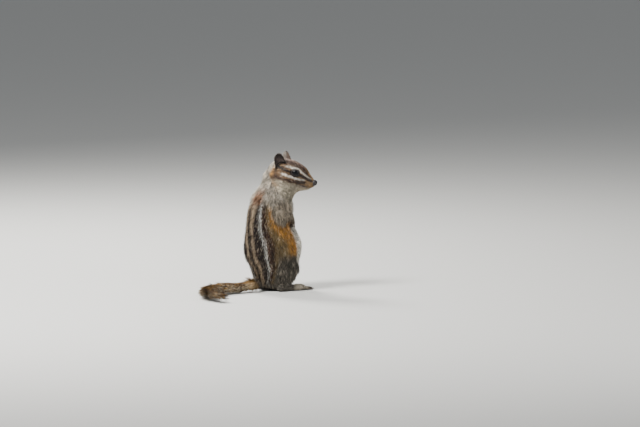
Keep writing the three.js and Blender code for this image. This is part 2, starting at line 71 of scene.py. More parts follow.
def direction(turn, rise):
    """The way that is turned from +X round the upright and raised from the floor by these angles."""
    return np.array([math.cos(turn) * math.cos(rise), math.sin(turn) * math.cos(rise), math.sin(rise)])


HEAD_TURN = math.radians(-59)
HEAD_DROP = math.radians(17)
EYE_IN_HEAD = np.array([2.6, 0, 3.6])
NOSE_CENTRE = np.array([16.8, 0, 0.1])
SIDES = {"right": -1, "left": 1}

forward = direction(HEAD_TURN, -HEAD_DROP)
leftward = np.array([-math.sin(HEAD_TURN), math.cos(HEAD_TURN), 0])
HEAD_AXES = np.array([forward, leftward, np.cross(forward, leftward)])
eye_boxes = {side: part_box(f"eye_{side}") for side in SIDES}
EYES = {side: np.array((low + high) / 2) / MM for side, (low, high) in eye_boxes.items()}
EYE_RADIUS = (eye_boxes["left"][1] - eye_boxes["left"][0]).z / 2 / MM
head_centre = (EYES["right"] + EYES["left"]) / 2 - EYE_IN_HEAD @ HEAD_AXES


def mirrored(vector, sign):
    """The vector itself for a sign of 1, its mirror image across the animal's middle for -1."""
    return vector * np.array([1, sign, 1])


def to_head(points):
    return (points - head_centre) @ HEAD_AXES.T


def from_head(points):
    return np.asarray(points, float) @ HEAD_AXES + head_centre


print("head centre", head_centre.round(1), "eye radius", round(EYE_RADIUS, 2))

# %% [markdown]
# ## Small helpers
#
# Fur changes softly from one region to the next. A fade that goes from 0 to 1 between two values does
# most of that work. A Catmull-Rom curve goes through each of its points, which makes it easy to lay
# a tail along a few given points. Every finished piece rides on the one body and stands in for the solids it
# names.


# %% Fades and curves
def fade(value, start, end):
    share = np.clip((value - start) / (end - start), 0, 1)
    return share * share * (3 - 2 * share)


def curve_through(points, steps):
    """Evenly spaced points on a smooth curve through the given ones."""
    p = np.array(points, float)
    p = np.vstack([2 * p[0] - p[1], p, 2 * p[-1] - p[-2]])
    t = np.linspace(0, 1, 24, endpoint=False)[:, None]
    pieces = []
    for a, b, c, d in zip(p, p[1:], p[2:], p[3:]):
        bend = (2 * a - 5 * b + 4 * c - d) * t**2 + (3 * b - a - 3 * c + d) * t**3
        pieces.append(0.5 * (2 * b + (c - a) * t + bend))
    line = np.vstack(pieces + [p[-2:-1]])
    length = np.concatenate([[0], np.cumsum(np.linalg.norm(np.diff(line, axis=0), axis=1))])
    even = np.linspace(0, length[-1], steps)
    return np.column_stack([np.interp(even, length, line[:, k]) for k in range(3)])


# %% Objects and what they stand for
def solid_in_mm(node):
    """A solid of the frame as a bmesh in millimetres, with its doubled corners merged."""
    bm = bmesh.new()
    bm.from_mesh(nodes[node].data)
    bmesh.ops.scale(bm, vec=(1 / MM, 1 / MM, 1 / MM), verts=bm.verts)
    bmesh.ops.remove_doubles(bm, verts=bm.verts, dist=0.001)
    return bm


def link(name, mesh):
    made = bpy.data.objects.new(name, mesh)
    bpy.context.scene.collection.objects.link(made)
    return made


def object_from(bm, name):
    """A finished bmesh in millimetres as an object in metres, shaded smooth."""
    bmesh.ops.scale(bm, vec=(MM, MM, MM), verts=bm.verts)
    mesh = bpy.data.meshes.new(name)
    bm.to_mesh(mesh)
    bm.free()
    mesh.shade_smooth()
    return link(name, mesh)


def dress(piece, finish, slot, *replaced):
    """Gives a piece its finish, puts it on the root body and hides the solids it replaces. The slot is not
    used.
    """
    piece.data.materials.append(finish)
    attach(piece, "root")
    if replaced:
        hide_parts(*replaced)
    print(piece.name, len(piece.data.polygons), "faces")


# %% [markdown]
# ## Tubes
#
# A tail's core, a lid's edge, a claw and a whisker are all round bars along a line, thick in one place
# and thin in another. A ring of points is moved to each place on the line and each ring is bridged to
# the next, which keeps the bar closed and lets its thickness change freely.


# %% Tubes along a line
def add_tube(bm, line, radii, sides=8, closed=False, up=(0, 0, 1)):
    """Adds a bar along a line. A closed line gives a ring without ends."""
    line = np.asarray(line, float)
    if closed:
        along = unit(np.roll(line, -1, axis=0) - np.roll(line, 1, axis=0))
    else:
        along = unit(np.gradient(line, axis=0))
    side = unit(np.cross(along, np.broadcast_to(np.asarray(up, float), along.shape)) + 1e-6)
    rise = np.cross(side, along)
    rings = []
    for point, across, lift, radius in zip(line, side, rise, np.broadcast_to(radii, len(line))):
        ring = bmesh.ops.create_circle(bm, segments=sides, radius=1)["verts"]
        for vert in ring:
            vert.co = Vector(point + (across * vert.co.x + lift * vert.co.y) * radius)
        rings.append(list(dict.fromkeys(edge for vert in ring for edge in vert.link_edges)))
    for low, high in zip(rings, rings[1:] + rings[:1] if closed else rings[1:]):
        bmesh.ops.bridge_loops(bm, edges=low + high)
    if not closed:
        for end in (rings[0], rings[-1]):
            bmesh.ops.edgeloop_fill(bm, edges=end)


# %% [markdown]
# ## The tail's line
#
# The tail leaves the rump, lies along the floor behind the animal and bends to its right. The solids
# were laid on the same points. The nearest place on the curve tells a hair on the tail
# which way the tail runs there.

# %% Tail line
TAIL_POINTS = [
    (-9, 0, 7.5), (-19, 0.2, 5.6), (-29, 1.4, 4.1), (-42, 2.6, 4.1), (-54, 0.6, 4.1),
    (-65, -5, 4.1), (-73, -14, 4.1), (-77.5, -25, 4.1), (-79, -35, 4.1), (-79.4, -44, 4.1),
]
TAIL_CORE_RADII = (3.4, 2.9, 2.5, 2.3, 2.0, 1.5, 0.9)
TAIL_CORE_END = 0.87
tail_line = curve_through(TAIL_POINTS, 160)
tail_along = unit(np.gradient(tail_line, axis=0))
tail_side = unit(np.cross(np.array([0, 0, 1.0]), tail_along))
tail_share = np.linspace(0, 1, len(tail_line))


def off_tail(points):
    """For each point, the index of the closest place on the tail's line and the way out from there."""
    gaps = ((points[:, None, :] - tail_line[None, ::2, :]) ** 2).sum(axis=2)
    place = gaps.argmin(axis=1) * 2
    return place, points - tail_line[place]


print("tail length", round(float(np.linalg.norm(np.diff(tail_line, axis=0), axis=1).sum()), 1), "mm")

# %% [markdown]
# ## One skin for the whole animal
#
# The solids are parted by thin gaps, which a real skin doesn't have. Copies of them are swollen until
# they touch, joined with a core for the tail and a bar that fills the bridge of the nose, and remeshed
# into one even net of small squares, which fuses them as clay is fused. Each point of the net
# remembers which solid it lies on, so that the coat knows a thigh from a throat.

# %% Join the solids
LIMBS = [f"{part}_{side}" for part in ("thigh", "shank", "foot", "upper_arm", "forearm", "hand")
         for side in SIDES]
FLESH = ["torso", "neck", "head"] + LIMBS
SWELL = 0.22
NET = 0.47
REGIONS = ["trunk", "neck", "head", "haunch", "arm", "limb", "foot", "hand", "tail"]
REGION_OF = {
    "torso": "trunk", "neck": "neck", "head": "head", "thigh": "haunch", "upper_arm": "arm",
    "shank": "limb", "forearm": "limb", "foot": "foot", "hand": "hand", "eye": "head", "nose": "head",
}
NOSE_BRIDGE = [(12, 0, 2.1), (14, 0, 1.9), (15.6, 0, 1.5), (17, 0, 1.0)]
NOSE_BRIDGE_RADII = (1.9, 1.8, 1.6, 1.2)

flesh = bmesh.new()
seed_points = []
seed_regions = []
for node in FLESH + ["eye_right", "eye_left", "nose"]:
    copy = solid_in_mm(node)
    copy.normal_update()
    own_region = REGION_OF[node.removesuffix("_right").removesuffix("_left")]
    seed_points += [face.calc_center_median() for face in copy.faces]
    seed_regions += [REGIONS.index(own_region)] * len(copy.faces)
    for vert in copy.verts:
        vert.co += vert.normal * SWELL
    part = bpy.data.meshes.new("part")
    copy.to_mesh(part)
    copy.free()
    flesh.from_mesh(part)
add_tube(flesh, from_head(NOSE_BRIDGE), NOSE_BRIDGE_RADII, sides=14)
core_line = tail_line[tail_share <= TAIL_CORE_END]
core_places = np.linspace(0, 1, len(core_line))
core_radii = np.interp(core_places, np.linspace(0, 1, len(TAIL_CORE_RADII)), TAIL_CORE_RADII)
add_tube(flesh, core_line, core_radii, sides=20)
for place in core_line[14::3]:
    seed_points.append(Vector(place))
    seed_regions.append(REGIONS.index("tail"))
bmesh.ops.triangulate(flesh, faces=flesh.faces)
rough_mesh = bpy.data.meshes.new("rough")
flesh.to_mesh(rough_mesh)
flesh.free()
print("joined solids:", len(rough_mesh.polygons), "triangles")

# %% Remesh them into one net
rough = link("rough", rough_mesh)
remesh = rough.modifiers.new("one skin", "REMESH")
remesh.mode = "VOXEL"
remesh.voxel_size = NET
bpy.context.view_layer.update()
skin_mesh = bpy.data.meshes.new_from_object(rough.evaluated_get(bpy.context.evaluated_depsgraph_get()))
bpy.data.objects.remove(rough)


def read(what, name, width, kind=np.float64):
    values = np.zeros(len(what) * width, kind)
    what.foreach_get(name, values)
    return values.reshape(-1, width)


skin_points = read(skin_mesh.vertices, "co", 3)
net_edges = read(skin_mesh.edges, "vertices", 2, np.int64)
net_squares = read(skin_mesh.loops, "vertex_index", 1, np.int64).reshape(-1, 4)
neighbours = np.bincount(net_edges.ravel(), minlength=len(skin_points))[:, None]
print("skin net:", len(skin_points), "points,", len(net_squares), "squares")


# %% Name the net's regions
def relaxed(values, times, amount=0.5):
    """Values on the net, each moved towards the mean of its neighbours."""
    values = values.copy()
    for _ in range(times):
        total = np.column_stack([
            np.bincount(net_edges[:, 0], values[net_edges[:, 1], k], len(values))
            + np.bincount(net_edges[:, 1], values[net_edges[:, 0], k], len(values))
            for k in range(values.shape[1])
        ])
        values += (total / neighbours - values) * amount
    return values


def tree_of(points):
    """A search tree for the point closest to a place."""
    tree = KDTree(len(points))
    for index, place in enumerate(points):
        tree.insert(place, index)
    tree.balance()
    return tree


seeds = tree_of(seed_points)
nearest = np.array([seed_regions[seeds.find(place)[1]] for place in skin_points])
region = relaxed(np.eye(len(REGIONS))[nearest], 14)
weight = {name: region[:, k] for k, name in enumerate(REGIONS)}
print({name: int(value.sum()) for name, value in weight.items()})

# %% [markdown]
# ## Smooth the net and sink it by the coat's depth
#
# The trunk's solid is coarse, so it is smoothed a lot. The face, hands and feet keep their shape with
# little. Then each point goes in along its normal by the depth of the coat there: deep on the back
# and belly, thin on the muzzle, and almost nothing on the hands and feet.


# %% How deep the coat is
def net_normals(points):
    """Normals of the skin's net with its points at these places."""
    a, b, c, d = points[net_squares].transpose(1, 0, 2)
    across = np.cross(c - a, d - b)
    return unit(np.column_stack([
        sum(np.bincount(net_squares[:, corner], across[:, k], len(points)) for corner in range(4))
        for k in range(3)
    ]))


def smoothed(points, keep, times):
    for _ in range(times):
        points = points + (relaxed(points, 1) - points) * (1 - keep)[:, None]
    return points


COAT_DEPTH = {
    "trunk": 2.5, "neck": 2.3, "haunch": 2.2, "arm": 1.9, "limb": 1.0, "foot": 0.34, "hand": 0.3,
    "head": 1.3, "tail": 0.0,
}
KEEPS_SHAPE = {"hand": 0.94, "foot": 0.9, "head": 0.55, "tail": 0.5}
FACE_DEPTH = 0.42
keeps_shape = np.clip(sum(weight[name] * share for name, share in KEEPS_SHAPE.items()), 0, 1)
solid_surface = BVHTree.FromPolygons(skin_points.tolist(), net_squares.tolist())
skin_points = smoothed(skin_points, keeps_shape, 26)
in_head = to_head(skin_points)
depth = sum(weight[name] * COAT_DEPTH[name] for name in REGIONS)
face = weight["head"] * fade(in_head[:, 0], 2, 13)
depth = depth * (1 - face) + FACE_DEPTH * face
cheek = weight["head"] * fade(in_head[:, 2], -2, -7) * fade(in_head[:, 0], 9, 2)
under_nose = weight["head"] * fade(np.linalg.norm(in_head - NOSE_CENTRE, axis=1), 3.2, 2.4)
depth = (relaxed((depth + 0.7 * cheek + 0.4 * under_nose)[:, None], 8))[:, 0] + SWELL


# %% Sink the net
def depth_below_solids(points):
    """How far each point lies inside the joined solids: negative outside."""
    deep = np.zeros(len(points))
    for index, place in enumerate(points):
        found, outward, _, gap = solid_surface.find_nearest(Vector(place))
        deep[index] = gap if (Vector(place) - found).dot(outward) < 0 else -gap
    return deep


for passes in (6, 3):
    wrong = relaxed((depth - depth_below_solids(skin_points))[:, None], passes)[:, 0]
    skin_points = skin_points - net_normals(skin_points) * (wrong * (1 - weight["tail"]))[:, None]
    skin_points = smoothed(skin_points, keeps_shape, 2)
print("coat depth", depth.min().round(2), "to", depth.max().round(2), "mm")

# %% [markdown]
# ## Lids over the eyes
#
# An eye shows through an almond opening in the skin. Inside the opening the skin is pressed in behind
# the eyeball, and round its edge it is drawn onto the ball, so the lids look stretched over the eye.

# %% Open the lids
EYE_LOOK = unit(np.array([0.2, 0.96, 0.16]))
OPENING = (2.75, 2.3)
LID_REACH = 1.7
LID_THICKNESS = 0.12
BEHIND_BALL = 0.7
eye_axes = {}
for side, sign in SIDES.items():
    look = mirrored(EYE_LOOK, sign) @ HEAD_AXES
    up = unit(HEAD_AXES[2] - look * (HEAD_AXES[2] @ look))
    ahead = np.cross(up, look)
    if ahead @ HEAD_AXES[0] < 0:
        ahead = -ahead
    eye_axes[side] = (ahead, up, look)
    a, b, c = ((skin_points - EYES[side]) @ way for way in (ahead, up, look))
    spread = np.hypot(a / OPENING[0], b / OPENING[1])
    near = (spread < LID_REACH) & (c > 0)
    ball = np.sqrt(np.maximum(EYE_RADIUS**2 - a**2 - b**2, 0.3))
    inside = near & (spread < 1)
    target = np.where(inside, ball - BEHIND_BALL * fade(spread, 1.0, 0.8), ball + LID_THICKNESS)
    pull = np.where(inside, 1.0, fade(spread, LID_REACH, 1.0))
    skin_points = skin_points + np.where(near, (target - c) * pull, 0)[:, None] * look
skin_points = smoothed(skin_points, 1 - 0.4 * weight["head"], 1)
skin_normals = net_normals(skin_points)

# %% [markdown]
# ## Markings
#
# The back has a dark line down its middle and, to each side, a buff stripe, a dark one, a white one
# and a dark brown one. Their place is an angle round the trunk, and a table says at which angle each
# stripe ends at six heights, so they swell over the belly and draw together at the shoulders and over
# the tail. The face's stripes are lines in the side view of the head. All of it is worked out by one
# function from a place on the body, so that the skin and each tuft agree.

# %% Colours of the coat
DARK = (0.018, 0.010, 0.009)
DARK_BROWN = (0.040, 0.018, 0.011)
BUFF_GREY = (0.40, 0.30, 0.20)
WHITE = (0.66, 0.62, 0.55)
BACK_WHITE = (0.56, 0.55, 0.51)
FLANK = (0.190, 0.130, 0.058)
OCHRE = (0.40, 0.185, 0.034)
RUST = (0.24, 0.095, 0.035)
HAUNCH_GREY = (0.088, 0.078, 0.063)
BELLY = (0.68, 0.64, 0.56)
NAPE = (0.43, 0.38, 0.31)
CROWN = (0.155, 0.108, 0.088)
FACE = (0.165, 0.096, 0.046)
CHEEK = (0.40, 0.355, 0.27)
MUZZLE = (0.27, 0.165, 0.075)
CHIN = (0.46, 0.385, 0.29)
ARM = (0.27, 0.225, 0.17)
TOE = (0.075, 0.055, 0.042)
PALE_PAW = (0.62, 0.54, 0.42)
TAIL_OCHRE = (0.40, 0.205, 0.042)
TAIL_BUFF = (0.62, 0.51, 0.33)

# %% Where the markings lie
# Colours across the back. A whole number is an edge between two stripes: 0 is the middle of the back,
# 1 the edge of the dark middle line, then a buff stripe, a dark one, a white one and a brown one.
STRIPES = [
    (0, DARK), (0.88, DARK), (1.1, BUFF_GREY), (1.9, BUFF_GREY), (2.08, DARK), (2.95, DARK),
    (3.15, BACK_WHITE), (3.85, BACK_WHITE), (4.08, DARK_BROWN), (4.85, DARK_BROWN), (5.25, FLANK), (9, FLANK),
]
# Where the trunk's middle lies from back to front, by height
SPINE_HEIGHTS = (0, 13.5, 31, 50, 61, 72, 80)
SPINE_MIDDLES = (2.4, 2.4, -0.2, -3.4, -0.6, 2.5, 6)
# The way round to the middle line in degrees, by height (the trunk is twisted a little), and how far
# from that line each stripe's edge is. The stripes of the left side are squeezed by the twist.
STRIPE_HEIGHTS = (10, 20, 37, 49, 61, 70)
MIDDLE_LINE = (6, 9, -5, -13, -14, -12)
STRIPE_EDGES = [
    (5, 6.7, 9, 8.5, 8, 6), (12, 14.5, 19, 20, 24, 22), (25, 32, 42, 38, 33, 29),
    (29, 36.8, 46.8, 47, 40, 34), (38, 49, 66, 64, 53, 44),
]
LEFT_SQUEEZE = 0.75
LAST_FADE = 12
# The ochre band runs from the shoulder under the arm to the flank: (way round, height)
MM_A_DEGREE = 0.3
OCHRE_BAND = [(13.5, 60), (20, 53), (27, 47), (32, 40)]
# The face's stripes in the side view of the head: points (forward, up), half width, colour
FACE_LINES = [
    ([(-4.0, 0.5), (-2.5, 0.6), (1.5, 0.1), (6, -0.1), (10.3, 0.3)], 0.62, WHITE),
    ([(-3.0, 6.0), (-0.5, 6.3), (4.4, 6.6), (8.0, 5.0), (12.4, 3.0), (14.2, 2.2)], 0.48, WHITE),
    ([(-8.5, 4.8), (-5.3, 4.2), (-1, 3.5), (3, 3.6), (8.7, 2.8), (11.9, 1.7), (15.5, 0.9)], 1.0, DARK),
    ([(-8, 8.4), (-1.8, 8.7), (2.2, 8.7), (6.6, 7.4), (11.1, 4.7), (14, 3.3)], 0.85, DARK_BROWN),
    ([(-8.0, -2.0), (-5.5, -2.5), (-2.2, -2.9), (2.5, -2.8), (8, -1.9), (11, -1.2)], 1.0, DARK_BROWN),
]
# Patches on the side of the head: middle, half sizes, colour, strength
FACE_PATCHES = [
    ((-11.5, -2.0), (1.6, 4.5), OCHRE, 0.9),
    ((-9.0, -4.2), (3.4, 2.2), DARK_BROWN, 0.75),
    ((-7.5, -8.6), (3.6, 2.4), OCHRE, 0.75),
    ((-7.0, -0.6), (1.5, 1.8), DARK_BROWN, 0.6),
    ((-9.6, 2.4), (1.1, 2.2), DARK, 0.85),
    ((-3.2, 5.6), (2.0, 2.6), DARK_BROWN, 0.5),
]
# The dark ring round the eye: its middle and half sizes
EYE_RING = ((3.0, 3.5), (3.6, 2.75))


# %% Helpers for the markings
def mix(base, colour, amount):
    base = np.asarray(base)
    return base + (np.asarray(colour) - base) * np.asarray(amount)[:, None]


def layered(base, layers):
    """One colour laid over another, each with its own amount at each place."""
    for colour, amount in layers:
        base = mix(base, colour, amount)
    return base


def off_line(x, z, line):
    """Distance from points in a flat view to a bent line."""
    best = np.full(len(x), np.inf)
    for (x0, z0), (x1, z1) in zip(line, line[1:]):
        dx, dz = x1 - x0, z1 - z0
        share = np.clip(((x - x0) * dx + (z - z0) * dz) / (dx * dx + dz * dz), 0, 1)
        best = np.minimum(best, np.hypot(x - x0 - share * dx, z - z0 - share * dz))
    return best


def trunk_angle(points):
    """Degrees round the trunk from the middle of the back: right side positive."""
    middle_x = np.interp(points[:, 2], SPINE_HEIGHTS, SPINE_MIDDLES)
    return np.degrees(np.arctan2(-points[:, 1] * 1.2, middle_x - points[:, 0]))


def stripe_place(angle, z):
    """Which stripe a point of the back is in, as a number between the edges of the table."""
    out = angle - np.interp(z, STRIPE_HEIGHTS, MIDDLE_LINE)
    out = np.where(out < 0, -out / LEFT_SQUEEZE, out)
    place = inner = np.zeros(len(out))
    for row in STRIPE_EDGES:
        outer = np.interp(z, STRIPE_HEIGHTS, row)
        place = place + np.clip((out - inner) / (outer - inner), 0, 1)
        inner = outer
    return place + np.clip((out - inner) / LAST_FADE, 0, 1)


# %% Markings of the trunk, head and tail
def trunk_colours(points):
    angle = trunk_angle(points)
    around = np.abs(angle)
    z = points[:, 2]
    across = stripe_place(angle, z)
    striped = np.column_stack([
        np.interp(across, [row[0] for row in STRIPES], [row[1][k] for row in STRIPES]) for k in range(3)
    ])
    under_arm = fade(off_line(around * MM_A_DEGREE, z, OCHRE_BAND), 5.6, 1.8)
    by_belly = fade(around, 86, 102) * fade(z, 27, 33) * fade(z, 58, 50)
    between_shoulders = fade(z, 60, 65) * fade(z, 78, 70) * fade(np.abs(angle - 3), 24, 12)
    colours = layered(FLANK, [
        (HAUNCH_GREY, fade(z, 34, 24)), (NAPE, fade(z, 55, 60)),
        (OCHRE, 0.95 * np.maximum(under_arm, by_belly)), (RUST, 0.9 * between_shoulders),
    ])
    back = fade(across, 5.9, 5.2) * fade(z, 7, 12) * fade(z, 70, 63)
    belly = fade(around, 116, 126) * fade(z, 62, 56) + fade(around, 98, 114) * fade(z, 56, 62)
    return layered(colours, [(striped, back), (BELLY, np.clip(belly, 0, 1))])


def head_colours(points):
    x, y, z = to_head(points).T
    y = np.abs(y)
    layers = [
        (CROWN, fade(z, 6.5, 8.5) * fade(x, 15, 11)), (MUZZLE, fade(x, 8, 12)),
        (CHEEK, fade(z, -3.0, -5.0) * fade(x, 12, 7)), (CHIN, fade(z, -3.4, -5.0) * fade(x, 5, 9)),
        (NAPE, fade(x, -10.5, -14)),
    ]
    for (place_x, place_z), (long, tall), colour, strength in FACE_PATCHES:
        patch = np.exp(-(((x - place_x) / long) ** 2) - ((z - place_z) / tall) ** 2)
        layers.append((colour, strength * patch * fade(y, 3, 6)))
    for line, half_width, colour in FACE_LINES:
        stripe = fade(off_line(x, z, line), half_width + 0.35, half_width - 0.35)
        layers.append((colour, stripe * fade(y, 0.8, 2.2)))
    (ring_x, ring_z), (long, tall) = EYE_RING
    layers.append((DARK, fade(np.hypot((x - ring_x) / long, (z - ring_z) / tall), 1.12, 0.95)))
    return layered(FACE, layers)


def tail_colours(points):
    place, out = off_tail(points)
    sideways = np.abs((out * tail_side[place]).sum(axis=1))
    return layered(TAIL_OCHRE, [
        (DARK_BROWN, 0.55 * fade(out[:, 2], 0.4, 1.6) * fade(sideways, 2.4, 0.8)),
        (TAIL_BUFF, 0.55 * fade(sideways, 1.6, 2.6)),
    ])


# %% Markings of the whole animal
def markings(points, regions):
    """Colour of the coat at each place, from its region's weights."""
    x, _, z = points.T
    trunk = trunk_colours(points)
    around = np.abs(trunk_angle(points))
    parts = {
        "trunk": trunk,
        "neck": trunk,
        "haunch": mix(trunk, HAUNCH_GREY, 0.85 * fade(around, 52, 64) * fade(around, 128, 112)),
        "arm": np.array(ARM),
        "limb": mix(ARM, HAUNCH_GREY, fade(z, 30, 20)),
        "foot": layered(HAUNCH_GREY, [(PALE_PAW, fade(x, 6, 11)), (TOE, fade(x, 17.5, 20.5))]),
        "hand": mix(ARM, TOE, 0.7 * fade(z, 56, 53)),
        "head": head_colours(points),
        "tail": tail_colours(points),
    }
    return sum(colours * regions[name][:, None] for name, colours in parts.items())


skin_tones = markings(skin_points, weight)
print("mean coat colour", skin_tones.mean(axis=0).round(3))

# %% [markdown]
# ## The lie of the coat
#
# Hair points away from the nose: back over the head, down the trunk to the rump, down each limb to its
# paw and along the tail. Each region's direction is blended by its weight and laid flat on the skin.

# %% Which way the hair lies
WAYS = {
    "trunk": (0, 0, -1), "neck": (0, 0, -1), "arm": (0, 0, -1), "haunch": (-0.25, 0, -1.05),
    "limb": (0.8, 0, -0.5), "foot": (1, 0, -0.1), "hand": (0.25, 0, -1),
}


def lie_of_coat(points, normals, regions):
    flow = sum(np.array(way) * regions[name][:, None] for name, way in WAYS.items())
    x, y, _ = to_head(points).T
    outwards = 0.25 * np.sign(y) * fade(np.abs(y), 1, 6)
    back_of_face = np.column_stack([-np.ones(len(x)), outwards, -0.25 * fade(x, -2, -12)])
    flow = flow + (back_of_face @ HEAD_AXES) * regions["head"][:, None]
    flow = flow + tail_along[off_tail(points)[0]] * regions["tail"][:, None] * 2
    return unit(flow - normals * (flow * normals).sum(axis=1, keepdims=True))


# %% [markdown]
# ## A map for the colours
#
# A finished model is painted from a flat map, on which each part of the body has a place of its own.
# The trunk is unrolled like the label of a bottle, and so are the head, the tail and each limb, each
# into its own rectangle. A tuft gets a small patch of the map at its root's place.

# %% Unroll the body
TILES = {
    "trunk": (0.02, 0.30, 0.56, 0.98), "neck": (0.02, 0.02, 0.56, 0.27), "head": (0.60, 0.50, 0.98, 0.98),
    "tail": (0.60, 0.32, 0.98, 0.46), "haunch": (0.60, 0.17, 0.72, 0.28), "arm": (0.74, 0.17, 0.86, 0.28),
    "limb": (0.88, 0.17, 0.98, 0.28), "foot": (0.60, 0.02, 0.78, 0.13), "hand": (0.80, 0.02, 0.98, 0.13),
}
TURN = 2 * math.pi


def unroll(points, tile, reference=None):
    """Place on the map of points that all belong to one tile; reference keeps a face in one piece."""
    x, y, z = points.T
    if tile == "head":
        ahead, aside, above = to_head(points).T
        turn, along = np.arctan2(aside, above), (ahead + 16) / 36
    elif tile == "tail":
        place, out = off_tail(points)
        turn, along = np.arctan2((out * tail_side[place]).sum(axis=1), out[:, 2]), tail_share[place]
    elif tile in ("trunk", "neck"):
        turn, along = np.radians(trunk_angle(points)), z / 88
    else:
        turn = np.where(y > 0, 0.5, -0.5) * math.pi + x * 0.045
        along = z / 70 if tile in ("arm", "haunch") else (z + np.abs(y)) / 75
    if reference is not None:
        turn = reference + (turn - reference + math.pi) % TURN - math.pi
    u0, v0, u1, v1 = TILES[tile]
    return np.column_stack([u0 + (u1 - u0) * (turn / TURN + 0.5), v0 + (v1 - v0) * np.clip(along, 0, 1)])


def unroll_all(points, regions):
    table = np.column_stack([regions[name] for name in REGIONS]).argmax(axis=1)
    place = np.zeros((len(points), 2))
    for k, tile in enumerate(REGIONS):
        place[table == k] = unroll(points[table == k], tile)
    return place


# %% [markdown]
# ## Shared material effects
#
# Every hairy surface uses one effect: the coat's own colour, darker at the root of each hair and
# lighter at its tip, with fine clumps of light and shade. Bare skin, nose, claws and lids share a
# second one: fine grain, as bumps and as changes of gloss. Each is a node group with named sockets,
# so that a material only says how strong it wants them.


# %% Nodes and their sockets
def feed(tree, socket, value):
    """Links a socket to another one, or sets it to a number or colour."""
    if isinstance(value, bpy.types.NodeSocket):
        tree.links.new(value, socket)
    else:
        socket.default_value = value


def new_node(tree, kind, settings=(), **inputs):
    """A node with its settings, and its inputs fed by name, with _ for a space."""
    made = tree.nodes.new(kind)
    for name, value in dict(settings).items():
        setattr(made, name, value)
    for name, value in inputs.items():
        feed(tree, made.inputs[name.replace("_", " ")], value)
    return made


def math_node(tree, operation, a, b, clamp=False):
    made = new_node(tree, "ShaderNodeMath", {"operation": operation, "use_clamp": clamp})
    feed(tree, made.inputs[0], a)
    feed(tree, made.inputs[1], b)
    return made.outputs[0]


def mixed(tree, factor, a, b, blend="MIX", kind="RGBA"):
    settings = {"data_type": kind} | ({"blend_type": blend} if kind == "RGBA" else {})
    return new_node(tree, "ShaderNodeMix", settings, Factor=factor, A=a, B=b).outputs["Result"]


def new_group(name, inputs, outputs):
    made = bpy.data.node_groups.new(name, "ShaderNodeTree")
    for socket, kind, value in inputs:
        made.interface.new_socket(socket, in_out="INPUT", socket_type=kind).default_value = value
    for socket, kind in outputs:
        made.interface.new_socket(socket, in_out="OUTPUT", socket_type=kind)
    return made, made.nodes.new("NodeGroupInput").outputs, made.nodes.new("NodeGroupOutput").inputs


FLOAT, COLOUR, VECTOR = "NodeSocketFloat", "NodeSocketColor", "NodeSocketVector"


# %% The two effects
def hair_effect():
    tree, given, result = new_group(
        "hair tone",
        [("Colour", COLOUR, (0.5, 0.5, 0.5, 1)), ("Along", FLOAT, 0.5), ("Root shade", FLOAT, 0.5),
         ("Tip light", FLOAT, 1.2), ("Clump scale", FLOAT, 700.0), ("Clump depth", FLOAT, 0.25)],
        [("Colour", COLOUR), ("Roughness", FLOAT)],
    )
    place = new_node(tree, "ShaderNodeTexCoord").outputs["Object"]
    noise = new_node(tree, "ShaderNodeTexNoise", Detail=3, Vector=place, Scale=given["Clump scale"])
    clumps = noise.outputs["Fac"]
    lift = math_node(tree, "SUBTRACT", given["Tip light"], given["Root shade"])
    tone = math_node(tree, "ADD", math_node(tree, "MULTIPLY", lift, given["Along"]), given["Root shade"])
    swing = math_node(tree, "MULTIPLY", math_node(tree, "SUBTRACT", clumps, 0.5), given["Clump depth"])
    swing = math_node(tree, "ADD", math_node(tree, "MULTIPLY", swing, 3.0), 1.0)
    tone = math_node(tree, "MULTIPLY", tone, swing)
    grey = new_node(tree, "ShaderNodeCombineColor", Red=tone, Green=tone, Blue=tone).outputs[0]
    feed(tree, result["Colour"], mixed(tree, 1.0, given["Colour"], grey, "MULTIPLY"))
    feed(tree, result["Roughness"], math_node(tree, "ADD", math_node(tree, "MULTIPLY", clumps, 0.25), 0.5))
    return tree


def grain_effect():
    tree, given, result = new_group(
        "fine grain",
        [("Scale", FLOAT, 1500.0), ("Depth", FLOAT, 0.4), ("Gloss", FLOAT, 0.4),
         ("Gloss change", FLOAT, 0.3)],
        [("Normal", VECTOR), ("Roughness", FLOAT), ("Grain", FLOAT)],
    )
    place = new_node(tree, "ShaderNodeTexCoord").outputs["Object"]
    cells = new_node(tree, "ShaderNodeTexVoronoi", Vector=place, Scale=given["Scale"]).outputs["Distance"]
    noise = new_node(tree, "ShaderNodeTexNoise", Detail=4, Vector=place, Scale=given["Scale"]).outputs["Fac"]
    both = math_node(tree, "ADD", cells, noise)
    bump = new_node(tree, "ShaderNodeBump", Distance=0.0001, Strength=given["Depth"], Height=both)
    change = math_node(tree, "MULTIPLY", noise, given["Gloss change"])
    feed(tree, result["Normal"], bump.outputs["Normal"])
    feed(tree, result["Roughness"], math_node(tree, "ADD", change, given["Gloss"], clamp=True))
    feed(tree, result["Grain"], both)
    return tree


HAIR_TONE = hair_effect()
FINE_GRAIN = grain_effect()


# %% Materials
def material(name, **constants):
    """A new material, its tree and its shader's inputs, some of them set, with _ for a space."""
    made = bpy.data.materials.new(name)
    made.use_nodes = True
    shader = made.node_tree.nodes["Principled BSDF"].inputs
    for socket, value in constants.items():
        shader[socket.replace("_", " ")].default_value = value
    return made, made.node_tree, shader


def attribute(tree, name, output):
    return new_node(tree, "ShaderNodeAttribute", {"attribute_name": name}).outputs[output]


